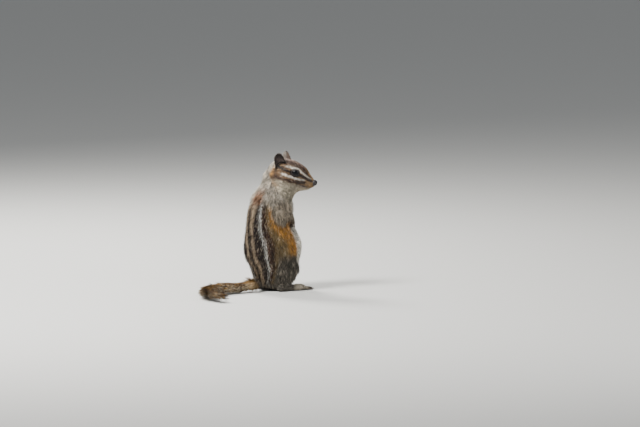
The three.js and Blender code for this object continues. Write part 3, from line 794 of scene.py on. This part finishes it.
def hair_material(name, root_shade, tip_light, soften=0.6):
    made, tree, shader = material(name, Specular_IOR_Level=0.3)
    tone = new_node(
        tree, "ShaderNodeGroup", {"node_tree": HAIR_TONE}, Root_shade=root_shade, Tip_light=tip_light,
        Colour=attribute(tree, "tone", "Color"), Along=attribute(tree, "along", "Fac"),
    )
    feed(tree, shader["Base Color"], tone.outputs["Colour"])
    feed(tree, shader["Roughness"], tone.outputs["Roughness"])
    if soften:
        own_normal = new_node(tree, "ShaderNodeNewGeometry").outputs["Normal"]
        coat_normal = attribute(tree, "coat_normal", "Vector")
        straight = new_node(tree, "ShaderNodeVectorMath", {"operation": "NORMALIZE"})
        feed(tree, straight.inputs[0], mixed(tree, soften, own_normal, coat_normal, kind="VECTOR"))
        feed(tree, shader["Normal"], straight.outputs[0])
    return made


def grain_material(name, colour, gloss, scale=1500.0, depth=0.4, coat=0.0):
    made, tree, shader = material(name, Coat_Weight=coat)
    grain = new_node(
        tree, "ShaderNodeGroup", {"node_tree": FINE_GRAIN}, Scale=scale, Depth=depth, Gloss=gloss,
    )
    dark, light = ((*(factor * channel for channel in colour), 1) for factor in (0.6, 1.25))
    feed(tree, shader["Base Color"], mixed(tree, grain.outputs["Grain"], dark, light))
    for name in ("Normal", "Roughness"):
        feed(tree, shader[name], grain.outputs[name])
    return made


def eye_material():
    made, tree, shader = material(
        "wet dark eye", Roughness=0.06, Coat_Weight=0.08, Coat_Roughness=0.03, IOR=1.38,
        Specular_IOR_Level=0.22,
    )
    facing = new_node(tree, "ShaderNodeLayerWeight", Blend=0.35).outputs["Facing"]
    feed(tree, shader["Base Color"], mixed(tree, facing, (0.002, 0.002, 0.003, 1), (0.010, 0.006, 0.005, 1)))
    return made


COAT = hair_material("coat hair", root_shade=0.55, tip_light=1.25)
TAIL_HAIR = hair_material("tail hair", root_shade=0.5, tip_light=1.3)
UNDERCOAT = hair_material("skin under the coat", root_shade=0.6, tip_light=0.6, soften=0)
LID_SKIN = grain_material("lid edge", (0.02, 0.014, 0.012), gloss=0.3, coat=0.3)
NOSE_SKIN = grain_material(
    "moist nose", (0.010, 0.008, 0.009), gloss=0.42, scale=2600.0, depth=0.6, coat=0.04,
)
CLAW_HORN = grain_material(
    "claw horn", (0.10, 0.075, 0.055), gloss=0.3, scale=900.0, depth=0.15, coat=0.2,
)
WHISKER_HORN = grain_material("whisker", (0.05, 0.04, 0.035), gloss=0.35, scale=900.0, depth=0.1)
EAR_SKIN = grain_material("ear skin", (0.07, 0.046, 0.04), gloss=0.55, scale=1100.0, depth=0.35)
WET_EYE = eye_material()
print("materials:", len(bpy.data.materials))

# %% [markdown]
# ## The skin as a piece
#
# The finished net becomes the skin. It carries the coat's colours, a little darker, so that a gap
# between two tufts reads as the shaded depth of the fur.


# %% Make the skin
def set_attribute(mesh, name, kind, values):
    field = {"FLOAT": "value", "FLOAT_COLOR": "color", "FLOAT_VECTOR": "vector"}[kind]
    flat = np.ascontiguousarray(values, np.float32).ravel()
    mesh.attributes.new(name, kind, "POINT").data.foreach_set(field, flat)


def set_map(mesh, places):
    mesh.uv_layers.new(name="OFBake").data.foreach_set("uv", places.astype(np.float32).ravel())


skin_mesh.vertices.foreach_set("co", (skin_points * MM).ravel())
skin_mesh.shade_smooth()
set_attribute(skin_mesh, "tone", "FLOAT_COLOR", np.column_stack([skin_tones, np.ones(len(skin_tones))]))
set_attribute(skin_mesh, "along", "FLOAT", np.full(len(skin_points), 0.5))
square_region = region[net_squares].sum(axis=1).argmax(axis=1)
square_middle = skin_points[net_squares].mean(axis=1)
corner_places = np.zeros((len(net_squares), 4, 2))
for k, tile in enumerate(REGIONS):
    chosen = np.flatnonzero(square_region == k)
    u0, _, u1, _ = TILES[tile]
    middle_turn = ((unroll(square_middle[chosen], tile)[:, 0] - u0) / (u1 - u0) - 0.5) * TURN
    for corner in range(4):
        corner_places[chosen, corner] = unroll(skin_points[net_squares[chosen, corner]], tile, middle_turn)
set_map(skin_mesh, corner_places)
skin_mesh.name = "skin"
skin_mesh.materials.clear()
dress(link("skin", skin_mesh), UNDERCOAT, "body_coat", *FLESH, "tail_root", "tail_middle", "tail_end")

# %% [markdown]
# ## Tufts
#
# A tuft is a thin blade of hair with three edges, which tapers to a point and bends over towards the
# skin. All the tufts of a piece are worked out together with arrays: a root place, the way the hair
# lies there, a length, a width and a lift. Hair that would go through the floor is flattened onto it.

# %% Where tufts grow
skin_corners = np.vstack([net_squares[:, [0, 1, 2]], net_squares[:, [0, 2, 3]]])
corner_points = skin_points[skin_corners]
first, second, third = corner_points.transpose(1, 0, 2)
triangle_area = np.linalg.norm(np.cross(second - first, third - first), axis=1) / 2
triangle_middle = corner_points.mean(axis=1)
of_triangle = {name: value[skin_corners].mean(axis=1) for name, value in weight.items()}
print("skin area", round(float(triangle_area.sum() / 100)), "square centimetres")


def scatter(density):
    """Places on the skin, as triangles and shares of their corners, for tufts per square millimetre."""
    wanted = triangle_area * density
    count = np.floor(wanted + draw.random(len(wanted))).astype(int)
    chosen = np.repeat(np.arange(len(wanted)), count)
    a, b = draw.random(len(chosen)), draw.random(len(chosen))
    over = a + b > 1
    a[over], b[over] = 1 - a[over], 1 - b[over]
    return chosen, np.column_stack([1 - a - b, a, b])


def on_skin(values, chosen, shares):
    return (values[skin_corners[chosen]] * shares[:, :, None]).sum(axis=1)


# %% Build the tufts of one piece
FLOOR_HAIR = 0.7
PATCH = 0.003
BLADE_SIDES = ((0, 2), (2, 1), (1, 0))


def blade_faces(rings):
    """The triangles of one blade: its root, its sides ring by ring, and the sides of its tip."""
    faces = [(0, 2, 1)]
    for low in range(0, 3 * (rings - 1), 3):
        for a, b in BLADE_SIDES:
            faces += [(low + b, low + a, low + 3 + a), (low + b, low + 3 + a, low + 3 + b)]
    top = 3 * (rings - 1)
    return np.array(faces + [(top + b, top + a, 3 * rings) for a, b in BLADE_SIDES])


def tuft_mesh(name, roots, normals, lies, length, width, lift, curl, tones, places, rings=2):
    """Closed three-edged blades, one for each root. rings counts the rings of corners below the tip."""
    count = len(roots)
    corners = rings * 3 + 1
    across = np.cross(normals, lies)
    wander = draw.normal(0, 0.10, count)
    points = np.zeros((count, corners, 3))
    along = np.ones((count, corners))
    for k, s in enumerate(np.linspace(0, 1, rings + 1)):
        rise = normals * (np.sin(lift) * (s - curl * s * s))[:, None]
        run = lies * (np.cos(lift) * s)[:, None]
        step = roots + (run + rise + across * (wander * s)[:, None]) * length[:, None]
        if k == rings:
            points[:, -1] = step
            break
        half = (width * (1 - 0.75 * s**1.5))[:, None]
        points[:, 3 * k] = step + across * half
        points[:, 3 * k + 1] = step - across * half
        points[:, 3 * k + 2] = step + normals * half * 0.7
        along[:, 3 * k: 3 * k + 3] = s
    height = points[:, :, 2]
    pressed = FLOOR_HAIR * np.exp(np.minimum(height / FLOOR_HAIR - 1, 0))
    points[:, :, 2] = np.where(height < FLOOR_HAIR, pressed, height)
    faces = (blade_faces(rings)[None] + np.arange(count)[:, None, None] * corners).reshape(-1, 3)
    mesh = bpy.data.meshes.new(name)
    mesh.from_pydata((points.reshape(-1, 3) * MM), [], faces)
    mesh.shade_smooth()
    if tones.ndim == 2:
        tones = np.repeat(tones[:, None], rings + 1, axis=1)
    flat = tones[:, np.arange(corners) // 3].reshape(-1, 3)
    set_attribute(mesh, "tone", "FLOAT_COLOR", np.column_stack([flat, np.ones(len(flat))]))
    set_attribute(mesh, "along", "FLOAT", along.ravel())
    set_attribute(mesh, "coat_normal", "FLOAT_VECTOR", np.repeat(normals, corners, axis=0))
    own = np.zeros((count, corners, 2))
    own[:, :, 0] = places[:, None, 0] + ((np.arange(corners) % 3) - 1)[None] * PATCH / 2
    own[:, :, 1] = places[:, None, 1] + (along - 0.5) * PATCH
    own[:, -1, 0] = places[:, 0]
    set_map(mesh, own.reshape(-1, 2)[faces.ravel()])
    return mesh


# %% [markdown]
# ## Locks and single dark or pale hairs
#
# Wild fur isn't even. Neighbouring hairs cling together in narrow locks, each a little lighter or
# darker than the next, and some single hairs are pale or dark for their whole length. Each tuft is
# given to the nearest of many lock middles, searched in a space squeezed along the body so that the
# locks come out long, and leans towards it.

# %% Locks and peppering
LOCK_STRETCH = np.array([1, 1, 0.3])
PALE_HAIR = np.array([0.42, 0.35, 0.26])


def in_locks(roots, lies, normals, every):
    """Groups neighbouring tufts into locks: each tuft's lock, and the way to its middle."""
    order = draw.permutation(len(roots))[:max(1, len(roots) // every)]
    middles = tree_of(roots[order] * LOCK_STRETCH)
    lock = np.array([middles.find(place)[1] for place in roots * LOCK_STRETCH])
    across = np.cross(normals, lies)
    return lock, across * ((roots[order][lock] - roots) * across).sum(axis=1, keepdims=True)


def peppered(tones, light, dark):
    """Each tuft's own tone: most near the coat's colour, some pale and some dark."""
    pick = draw.random(len(tones))
    own = tones * draw.uniform(0.72, 1.22, (len(tones), 1))
    own = np.where((pick < light)[:, None], own * 0.45 + PALE_HAIR * 0.55, own)
    return np.where((pick > 1 - dark)[:, None], own * 0.35, own)


# %% Grow one region's coat
THIN = 1.0
PIECE = 19000
ROOT_DEPTH = 0.12


def grow(name, density, length, width, lift, curl, finish, light, dark, rings=2, tone_change=None,
         every=16, gather=0.22, uneven=0.3):
    """Grows one region's tufts over the skin, cut into pieces of limited size."""
    chosen, shares = scatter(density * THIN)
    order = draw.permutation(len(chosen))
    chosen, shares = chosen[order], shares[order]
    roots = on_skin(skin_points, chosen, shares)
    normals = unit(on_skin(skin_normals, chosen, shares))
    own = {key: on_skin(value[:, None], chosen, shares)[:, 0] for key, value in weight.items()}
    lies = lie_of_coat(roots, normals, own)
    loose_edge = 0.15 + 0.25 * (own["trunk"] + own["neck"] + own["haunch"])
    stray = draw.normal(0, 1, roots.shape) * loose_edge[:, None]
    lock, inwards = in_locks(roots, lies, normals, every)
    lies = unit(lies + inwards * gather)
    tones = peppered(markings(roots + stray, own), light, dark)
    tones = tones * np.exp(draw.normal(0, uneven, lock.max() + 1))[lock][:, None]
    if tone_change:
        tones = tone_change(roots, tones)
    deep = on_skin(depth[:, None], chosen, shares)[:, 0]
    vary = draw.uniform(0.8, 1.2, len(roots))
    long = length(roots, deep, own) * vary
    high = lift(roots, deep, own, long)
    places = unroll_all(roots, own)
    for k, start in enumerate(range(0, len(roots), PIECE), 1):
        part = slice(start, start + PIECE)
        mesh = tuft_mesh(
            f"{name}_{k}", roots[part] - normals[part] * ROOT_DEPTH, normals[part], lies[part], long[part],
            width * vary[part], high[part], curl, tones[part], places[part], rings,
        )
        dress(link(f"{name}_{k}", mesh), finish, name)


# %% [markdown]
# ## The coat of the body
#
# The trunk's hair is long and overlaps most. Its tips end where the solids' surface was, so its
# length and lift come from the coat's depth. The nape's and belly's is looser and stands out more,
# and a few hairs everywhere stand up from the rest.


# %% Coat of trunk, neck, haunches and arms
def body_length(roots, deep, own):
    return 2.2 + 1.25 * deep + 0.9 * own["neck"]


def body_lift(roots, deep, own, long):
    """A lift that brings the tip out to the coat's surface, more on the nape and belly."""
    loose = 1 + 0.45 * own["neck"] + 0.35 * fade(np.abs(trunk_angle(roots)), 115, 140) * own["trunk"]
    loose = np.where(draw.random(len(roots)) < 0.06, loose * 1.6, loose)
    return np.arcsin(np.clip(deep * 1.25 * loose / long, 0.08, 0.85)) * draw.uniform(0.75, 1.15, len(roots))


furry = of_triangle["trunk"] + of_triangle["neck"] + of_triangle["haunch"] + of_triangle["arm"]
grow(
    "body_coat", density=6.6 * fade(furry, 0.3, 0.7), length=body_length, width=0.24, lift=body_lift,
    curl=0.35, finish=COAT, light=0.10, dark=0.17, uneven=0.36,
)

# %% [markdown]
# ## The coat of the head
#
# The face's hair is short and lies close, shortest on the muzzle and round the eyes, where the stripes
# must stay crisp. No hair grows on the nose or on the open eye.

# %% Coat of the head
BARE_NOSE = np.array([17.7, 0, -0.1])
BARE_NOSE_RADIUS = 2.3


def head_density():
    open_eye = np.zeros(len(triangle_middle), bool)
    for side in SIDES:
        ahead, up, look = eye_axes[side]
        out = triangle_middle - EYES[side]
        spread = np.hypot(out @ ahead / OPENING[0], out @ up / OPENING[1])
        open_eye |= (spread < 1.12) & (out @ look > 0)
    bare_nose = np.linalg.norm(to_head(triangle_middle) - BARE_NOSE, axis=1) < BARE_NOSE_RADIUS
    return 17 * fade(of_triangle["head"], 0.3, 0.6) * ~open_eye * ~bare_nose


def head_length(roots, deep, own):
    x, _, z = to_head(roots).T
    near_eye = np.exp(-(((x - 2.6) / 4) ** 2) - ((z - 3.6) / 3.4) ** 2)
    return (1.1 + 1.3 * deep) * (1 - 0.52 * fade(x, -6, 12)) * (1 - 0.4 * near_eye)


def head_lift(roots, deep, own, long):
    x, _, z = to_head(roots).T
    crown = 1 + 0.5 * fade(z, 5, 8) * fade(x, 15, 10)
    return np.arcsin(np.clip(deep * 0.95 * crown / long, 0.06, 0.7)) * draw.uniform(0.7, 1.1, len(roots))


grow(
    "head_coat", density=head_density(), length=head_length, width=0.13, lift=head_lift,
    curl=0.45, finish=COAT, light=0.07, dark=0.08,
)

# %% [markdown]
# ## Hands, feet and lower limbs
#
# Here the hair is so short that it mostly shows as a soft edge.


# %% Coat of the lower limbs
def limb_length(roots, deep, own):
    return 0.9 + 0.9 * deep


def limb_lift(roots, deep, own, long):
    return np.arcsin(np.clip(deep * 0.9 / long, 0.05, 0.5))


paws = of_triangle["foot"] + of_triangle["hand"] + of_triangle["limb"]
grow(
    "limb_coat", density=11 * fade(paws, 0.35, 0.7), length=limb_length, width=0.11, lift=limb_lift,
    curl=0.4, finish=COAT, light=0.08, dark=0.08,
)

# %% [markdown]
# ## The tail's brush
#
# The tail's hairs are the longest on the animal. They lie back along the tail and spread to its sides,
# so it looks flat, with a pale fringe along both edges. Each is ochre at its root, and many have a
# dark band or are dark to the tip. Near the rump they take the rump's colours and lie closer.


# %% Coat of the tail
def tail_outwards(roots):
    """How far to the side and upwards a hair's root faces, and its share of the tail's length."""
    place, out = off_tail(roots)
    out = unit(out)
    return np.abs((out * tail_side[place]).sum(axis=1)), out[:, 2], tail_share[place]


def tail_length(roots, deep, own):
    sideways, _, share = tail_outwards(roots)
    return (7 + 5 * sideways) * (0.55 + 0.45 * fade(share, 0.02, 0.3)) * (1 - 0.15 * fade(share, 0.85, 1))


def tail_lift(roots, deep, own, long):
    sideways, up, share = tail_outwards(roots)
    low = 1 - 0.75 * fade(up, -0.2, -0.8)
    near_rump = 0.35 + 0.65 * fade(share, 0.02, 0.22)
    return np.radians(15 + 15 * sideways**1.5) * low * near_rump * draw.uniform(0.6, 1.2, len(roots))


def tail_tones(roots, tones):
    """A tone for each ring of a hair: ochre, then a dark band, then a tip that is palest at the sides."""
    sideways, _, share = tail_outwards(roots)
    pick = draw.random(len(roots))
    ochre = np.array(TAIL_OCHRE) * draw.uniform(0.7, 1.25, (len(roots), 1))
    dark = np.tile(np.array(DARK), (len(roots), 1))
    pale = np.array(TAIL_BUFF) * draw.uniform(0.75, 1.15, (len(roots), 1))
    fringe = (fade(sideways, 0.72, 1.0) > draw.random(len(roots)))[:, None]
    banded = (pick < 0.5)[:, None]
    all_dark = (pick > 0.6)[:, None]
    second = np.where(all_dark, dark, ochre)
    third = np.where(banded | all_dark, dark, ochre)
    third = np.where(fringe & ~all_dark, np.where(banded, dark * 3, pale * 0.8), third)
    tip = np.where(fringe, pale, np.where(all_dark, dark, ochre * 1.15))
    past_rump = fade(share, 0.03, 0.16)[:, None, None]
    return np.stack([ochre, second, third, tip], axis=1) * past_rump + tones[:, None] * (1 - past_rump)


past_end = (triangle_middle - core_line[-1]) @ unit(core_line[-1] - core_line[-2])
on_cap = (past_end > -0.35) & (np.linalg.norm(triangle_middle - core_line[-1], axis=1) < 2.5)
grow(
    "tail_coat", density=7.0 * fade(of_triangle["tail"], 0.3, 0.7) * ~on_cap, length=tail_length,
    width=0.26, lift=tail_lift, curl=0.3, finish=TAIL_HAIR, light=0.0, dark=0.0, rings=3,
    tone_change=tail_tones, every=9, gather=0.04, uneven=0.25,
)

# %% [markdown]
# ## Eyes
#
# A chipmunk's eye is a dark ball that fills its opening and shines like wet glass. A smooth, nearly
# black ball gives that with one closed shape. A thin dark bar round the opening is the lid's edge.

# %% Eyes and lid edges
ABOVE_BALL = 0.02
LID_EDGE = 0.24
UPPER_LID = 0.1

for side in SIDES:
    ball = bmesh.new()
    bmesh.ops.create_uvsphere(ball, u_segments=40, v_segments=24, radius=EYE_RADIUS)
    bmesh.ops.translate(ball, vec=Vector(EYES[side]), verts=ball.verts)
    dress(object_from(ball, f"eyeball_{side}"), WET_EYE, "eye", f"eye_{side}")

    ahead, up, look = eye_axes[side]
    turn = np.linspace(0, TURN, 40, endpoint=False)
    a = OPENING[0] * np.cos(turn)
    b = OPENING[1] * np.sin(turn) * (1 - 0.12 * np.abs(np.cos(turn)) ** 3)
    c = np.sqrt(EYE_RADIUS**2 - a**2 - b**2) + ABOVE_BALL
    edge = EYES[side] + a[:, None] * ahead + b[:, None] * up + c[:, None] * look
    rim = bmesh.new()
    add_tube(rim, edge, LID_EDGE + UPPER_LID * np.maximum(np.sin(turn), 0), closed=True, up=look)
    bmesh.ops.recalc_face_normals(rim, faces=rim.faces)
    dress(object_from(rim, f"lid_{side}"), LID_SKIN, "nose")

# %% [markdown]
# ## Nose and lips
#
# The nose pad is a small moist cushion with a comma-shaped nostril on each side and a groove down its
# middle that runs on to the lip. The line of the mouth is two thin dark lips side by side.

# %% Nose pad
NOSE_HALF = np.array([2.1, 2.2, 2.25])
NOSTRIL_DEPTH = 0.42
GROOVE_DEPTH = 0.14
pad = bmesh.new()
bmesh.ops.create_icosphere(pad, subdivisions=5, radius=1)
for vert in pad.verts:
    x, y, z = vert.co
    x += 0.12 * max(z, 0) - 0.10 * abs(y)
    nostril = math.exp(-(((abs(y) - 0.56) / 0.2) ** 2) - ((z + 0.12 - 0.25 * (abs(y) - 0.5)) / 0.26) ** 2)
    groove = math.exp(-((y / 0.1) ** 2)) * max(0.0, min(1.0, 0.3 - z))
    if x > 0:
        x -= NOSTRIL_DEPTH * nostril + GROOVE_DEPTH * groove
    vert.co = Vector(from_head(NOSE_CENTRE + NOSE_HALF * np.array([x, y, z])))
dress(object_from(pad, "nose_pad"), NOSE_SKIN, "nose", "nose")

# %% Lips
skin_tree = tree_of(skin_points)


def onto_skin(points, out):
    """The nearest places on the skin, moved out from it."""
    found = [skin_tree.find(place)[1] for place in points]
    return skin_points[found] + skin_normals[found] * out


LIP_STEPS = 25
share = np.linspace(-1, 1, LIP_STEPS)
swing = np.abs(share)
lip_line = np.column_stack([
    16.2 - 8 * swing**1.6, 4.6 * np.sin(share * math.pi / 2), -4.2 - 0.5 * np.sin(swing * 2.4),
])
lip_line = onto_skin(from_head(lip_line), 0.08)
for _ in range(3):
    lip_line[1:-1] = (lip_line[:-2] + lip_line[2:] + 2 * lip_line[1:-1]) / 4
lip_radii = 0.24 * np.sqrt(1 - np.linspace(-0.97, 0.97, LIP_STEPS) ** 2) + 0.03
LIP_OFFSET = 0.16
lips = bmesh.new()
for offset in (-LIP_OFFSET, LIP_OFFSET):
    add_tube(lips, lip_line + HEAD_AXES[2] * offset, lip_radii, sides=6)
bmesh.ops.recalc_face_normals(lips, faces=lips.faces)
dress(object_from(lips, "lips"), LID_SKIN, "nose")

# %% [markdown]
# ## Ears
#
# The ears' solids have the right cup and place, so each is copied, widened towards its round tip and
# smoothed with a subdivision surface. Very short hair covers both faces: brown outside, and pale on the
# face that is turned to the rear. Inside the cup the hair is nearly black, which is painted shade of the
# hollow laid over the ear's own brown.

# %% Ear cups
EAR_TALL = 12.8
EAR_WIDENING = 0.3
EAR_ROOT = np.array([-8.2, 8.9, 0.4])
EAR_BREADTH = np.array([0.87, -0.5, 0])
EAR_OPENS = np.array([0.74, 0.67, 0])
# The "inside" tone is painted shade of the cup's hollow over the ear's own brown; the outside and rear tones
# are the ear's own colours.
EAR_HAIR_AND_HOLLOW_SHADE = {"inside": (0.028, 0.019, 0.016), "outside": (0.22, 0.16, 0.12), "rear": (0.50, 0.44, 0.38)}
HAIRS_A_CORNER = 5


def ear_hair(side, ear):
    """Short tufts from each corner of the smoothed ear, laid towards its tip."""
    smooth = bpy.data.meshes.new_from_object(ear.evaluated_get(bpy.context.evaluated_depsgraph_get()))
    points = read(smooth.vertices, "co", 3) / MM
    normals = read(smooth.vertices, "normal", 3)
    local = to_head(points)
    up = unit(local[local[:, 2].argmax()] - local[local[:, 2].argmin()])
    height = (local @ up - (local @ up).min()) / np.ptp(local @ up)
    breadth = (local[:, 1] - local[:, 1].min()) / np.ptp(local[:, 1])
    opens = mirrored(unit(EAR_OPENS), SIDES[side])
    pick = np.tile(np.arange(len(points)), HAIRS_A_CORNER)
    roots = points[pick] + draw.normal(0, 0.16, (len(pick), 3))
    tip_way = (up @ HEAD_AXES) + normals[pick] * 0.1
    lies = unit(tip_way - normals[pick] * (tip_way * normals[pick]).sum(axis=1, keepdims=True))
    facing = normals[pick] @ HEAD_AXES.T
    inside = facing @ opens > 0.15
    tones = np.where((facing[:, 0] < -0.35)[:, None], EAR_HAIR_AND_HOLLOW_SHADE["rear"], EAR_HAIR_AND_HOLLOW_SHADE["outside"])
    # Hair facing into the cup gets the nearly black tone, which is painted shade of the hollow.
    tones = np.where(inside[:, None], EAR_HAIR_AND_HOLLOW_SHADE["inside"], tones) * draw.uniform(0.7, 1.25, (len(pick), 1))
    half = np.where(inside, 0.04, 0.52)
    places = np.column_stack([0.04 + 0.92 * height[pick], half + 0.44 * breadth[pick]])
    count = len(pick)
    return tuft_mesh(
        f"ear_hair_{side}", roots, normals[pick], lies, length=draw.uniform(0.6, 1.2, count),
        width=np.full(count, 0.07), lift=np.radians(draw.uniform(6, 22, count)), curl=0.4,
        tones=tones, places=places,
    )


for side, sign in SIDES.items():
    cup = solid_in_mm(f"ear_{side}")
    root = mirrored(EAR_ROOT, sign)
    wide = mirrored(EAR_BREADTH, sign) @ HEAD_AXES
    for vert in cup.verts:
        height = (to_head(np.array(vert.co)) - root)[2] / EAR_TALL
        aside = (np.array(vert.co) - from_head(root)) @ wide
        vert.co += Vector(wide * aside * EAR_WIDENING * float(fade(height, 0.3, 0.8)))
    every_way = {f"use_axis_{axis}": True for axis in "xyz"}
    for _ in range(2):
        bmesh.ops.smooth_vert(cup, verts=cup.verts, factor=0.4, **every_way)
    ear = object_from(cup, f"ear_cup_{side}")
    surface = ear.modifiers.new("smooth", "SUBSURF")
    surface.levels = surface.render_levels = 1
    dress(ear, EAR_SKIN, "ear", f"ear_{side}")
    bpy.context.view_layer.update()
    dress(link(f"ear_hair_{side}", ear_hair(side, ear)), COAT, "ear")

# %% [markdown]
# ## Whiskers
#
# Whiskers grow in rows from the pads beside the nose. They are stiff, dark and thin as threads, and
# they sweep back and droop a little.

# %% Whiskers
ROWS = COLUMNS = 4
whiskers = bmesh.new()
for sign in SIDES.values():
    for row in range(ROWS):
        for column in range(COLUMNS):
            pore = from_head([(14.6 - 1.35 * column, 3.4 * sign, -0.4 - 0.85 * row)])
            root = to_head(onto_skin(pore, -0.1))[0]
            long = 9 + 2.6 * column + draw.uniform(-1, 1)
            sweep = np.array([-0.55 - 0.1 * column, 0.8 * sign, 0.18 - 0.14 * row]) + draw.normal(0, 0.05, 3)
            s = np.linspace(0, 1, 9)[:, None]
            path = root + unit(sweep) * long * s + np.array([-1.6, 0, -1.3]) * s**2
            add_tube(whiskers, from_head(path), 0.065 * (1 - 0.8 * s[:, 0]) + 0.012, sides=4)
bmesh.ops.recalc_face_normals(whiskers, faces=whiskers.faces)
dress(object_from(whiskers, "whiskers"), WHISKER_HORN, "nose")

# %% [markdown]
# ## Claws
#
# Each digit ends in a small curved claw. Its place follows from the sizes that the solids' digits were
# made with: a root on the paw, a direction that fans out, and a droop along the digit.

# %% Claws
TOES = {"count": 5, "length": 8.6, "splay": math.radians(26), "droop": math.radians(14), "spread": 5.4}
FINGERS = {"count": 4, "length": 6.0, "splay": math.radians(34), "droop": math.radians(34), "spread": 3.3}
TOE_ROOT = np.array([17.2, -13.2, 1.65])
FINGER_ROOT = np.array([5.4, -16.1, 53.4])
FINGER_WAY = unit(np.array([1.6, 0.1, -2.6])) + np.array([-0.2, 0, -0.5])
TOE_CLAW, FINGER_CLAW = 0.42, 0.26
CLAW_START = 0.7
CLAW_TAPER = np.array([0.9, 1, 0.86, 0.66, 0.4, 0.12])


def turned(vector, axis, angle):
    axis = unit(axis)
    upright = axis * (axis @ vector) * (1 - math.cos(angle))
    return vector * math.cos(angle) + np.cross(axis, vector) * math.sin(angle) + upright


def digit_lines():
    """Each digit's root, direction, length, droop and claw thickness, on the right side."""
    for share in np.linspace(-0.5, 0.5, TOES["count"]):
        inset = 1 - 1.1 * share * share
        turn = share * TOES["splay"] * 2
        way = np.array([math.cos(turn), math.sin(turn), 0])
        root = TOE_ROOT + np.array([inset, share * TOES["spread"], 0])
        yield root, way, TOES["length"] * inset, TOES["droop"], TOE_CLAW
    for share in np.linspace(-0.5, 0.5, FINGERS["count"]):
        way = unit(turned(FINGER_WAY, np.array([1.0, 0, 0]), share * FINGERS["splay"]))
        root = FINGER_ROOT + np.array([0, share * FINGERS["spread"], 0])
        yield root, way, FINGERS["length"], FINGERS["droop"], FINGER_CLAW


claws = bmesh.new()
for root, way, length, droop, thick in digit_lines():
    sideways = unit(np.cross(way, np.array([0, 0, 1.0])))
    line = np.array([
        root + turned(way, sideways, -droop * share / 2 - 0.5 * (share - CLAW_START)) * share * length
        for share in np.linspace(CLAW_START, 1.0, len(CLAW_TAPER))
    ])
    for sign in (1, -1):
        add_tube(claws, mirrored(line, sign), thick * CLAW_TAPER, sides=7)
bmesh.ops.recalc_face_normals(claws, faces=claws.faces)
dress(object_from(claws, "claws"), CLAW_HORN, "nose")

# %% [markdown]
# ## Floor, light and camera
#
# The model stands on a plain pale floor under soft studio light: a large lamp high to the left in
# front, one high behind the left that draws a pale edge along the nape, as daylight did, and a wide
# weak one at the right that fills the shadows. The camera looks from behind the right shoulder, with
# a long lens from far away.

# %% Floor
FLOOR_HALF = 3000
floor_mesh = bmesh.new()
bmesh.ops.create_grid(floor_mesh, x_segments=1, y_segments=1, size=FLOOR_HALF)
floor = object_from(floor_mesh, "floor")
floor.data.materials.append(material("pale floor", Base_Color=(0.62, 0.62, 0.60, 1), Roughness=0.8)[0])

# %% Light
world = bpy.data.worlds.new("studio")
bpy.context.scene.world = world
world.use_nodes = True
world.node_tree.nodes["Background"].inputs["Color"].default_value = (0.80, 0.83, 0.86, 1)
world.node_tree.nodes["Background"].inputs["Strength"].default_value = 0.34

CAMERA_AZIMUTH = math.radians(-42)
CAMERA_ELEVATION = math.radians(6)
back = direction(CAMERA_AZIMUTH - math.pi / 2, CAMERA_ELEVATION)
right = np.array([math.cos(CAMERA_AZIMUTH), math.sin(CAMERA_AZIMUTH), 0])
above = np.cross(back, right)
LIT_PLACE = np.array([0, 0, 50.0])


def lamp(name, aside, lift, towards, size, power, colour=(1, 1, 1)):
    """An area lamp placed from the camera's point of view, in millimetres from the animal's middle."""
    offset = right * aside + np.array([0, 0, lift]) + back * towards
    data = bpy.data.lights.new(name, "AREA")
    data.shape = "DISK"
    data.size = size * MM
    data.energy = power
    data.color = colour
    made = link(name, data)
    made.location = Vector((LIT_PLACE + offset) * MM)
    made.rotation_euler = Vector(-offset).to_track_quat("-Z", "Y").to_euler()


WARM_KEY = (1.0, 0.98, 0.95)
WARM_EDGE = (1.0, 0.98, 0.94)
lamp("key", aside=-380, lift=560, towards=330, size=260, power=12.0, colour=WARM_KEY)
lamp("edge", aside=-300, lift=560, towards=-460, size=260, power=9.0, colour=WARM_EDGE)
lamp("fill", aside=600, lift=260, towards=420, size=420, power=1.6)

# %% Camera
PIXEL = 0.73
FRAME_WIDTH = 640
FRAME_HEIGHT = 427
ORIGIN_PIXEL = (272, 290)
LENS = 400
SENSOR = 36
distance = FRAME_WIDTH * PIXEL * LENS / SENSOR
aside = (FRAME_WIDTH / 2 - ORIGIN_PIXEL[0]) * PIXEL
upwards = (ORIGIN_PIXEL[1] - FRAME_HEIGHT / 2) * PIXEL
camera_data = bpy.data.cameras.new("camera")
camera_data.lens = LENS
camera_data.sensor_width = SENSOR
camera_data.clip_end = 100
camera = link("camera", camera_data)
camera.location = Vector((right * aside + above * upwards + back * distance) * MM)
camera.rotation_euler = Vector(-back).to_track_quat("-Z", "Y").to_euler()
bpy.context.scene.camera = camera
print("camera distance", round(distance), "mm")
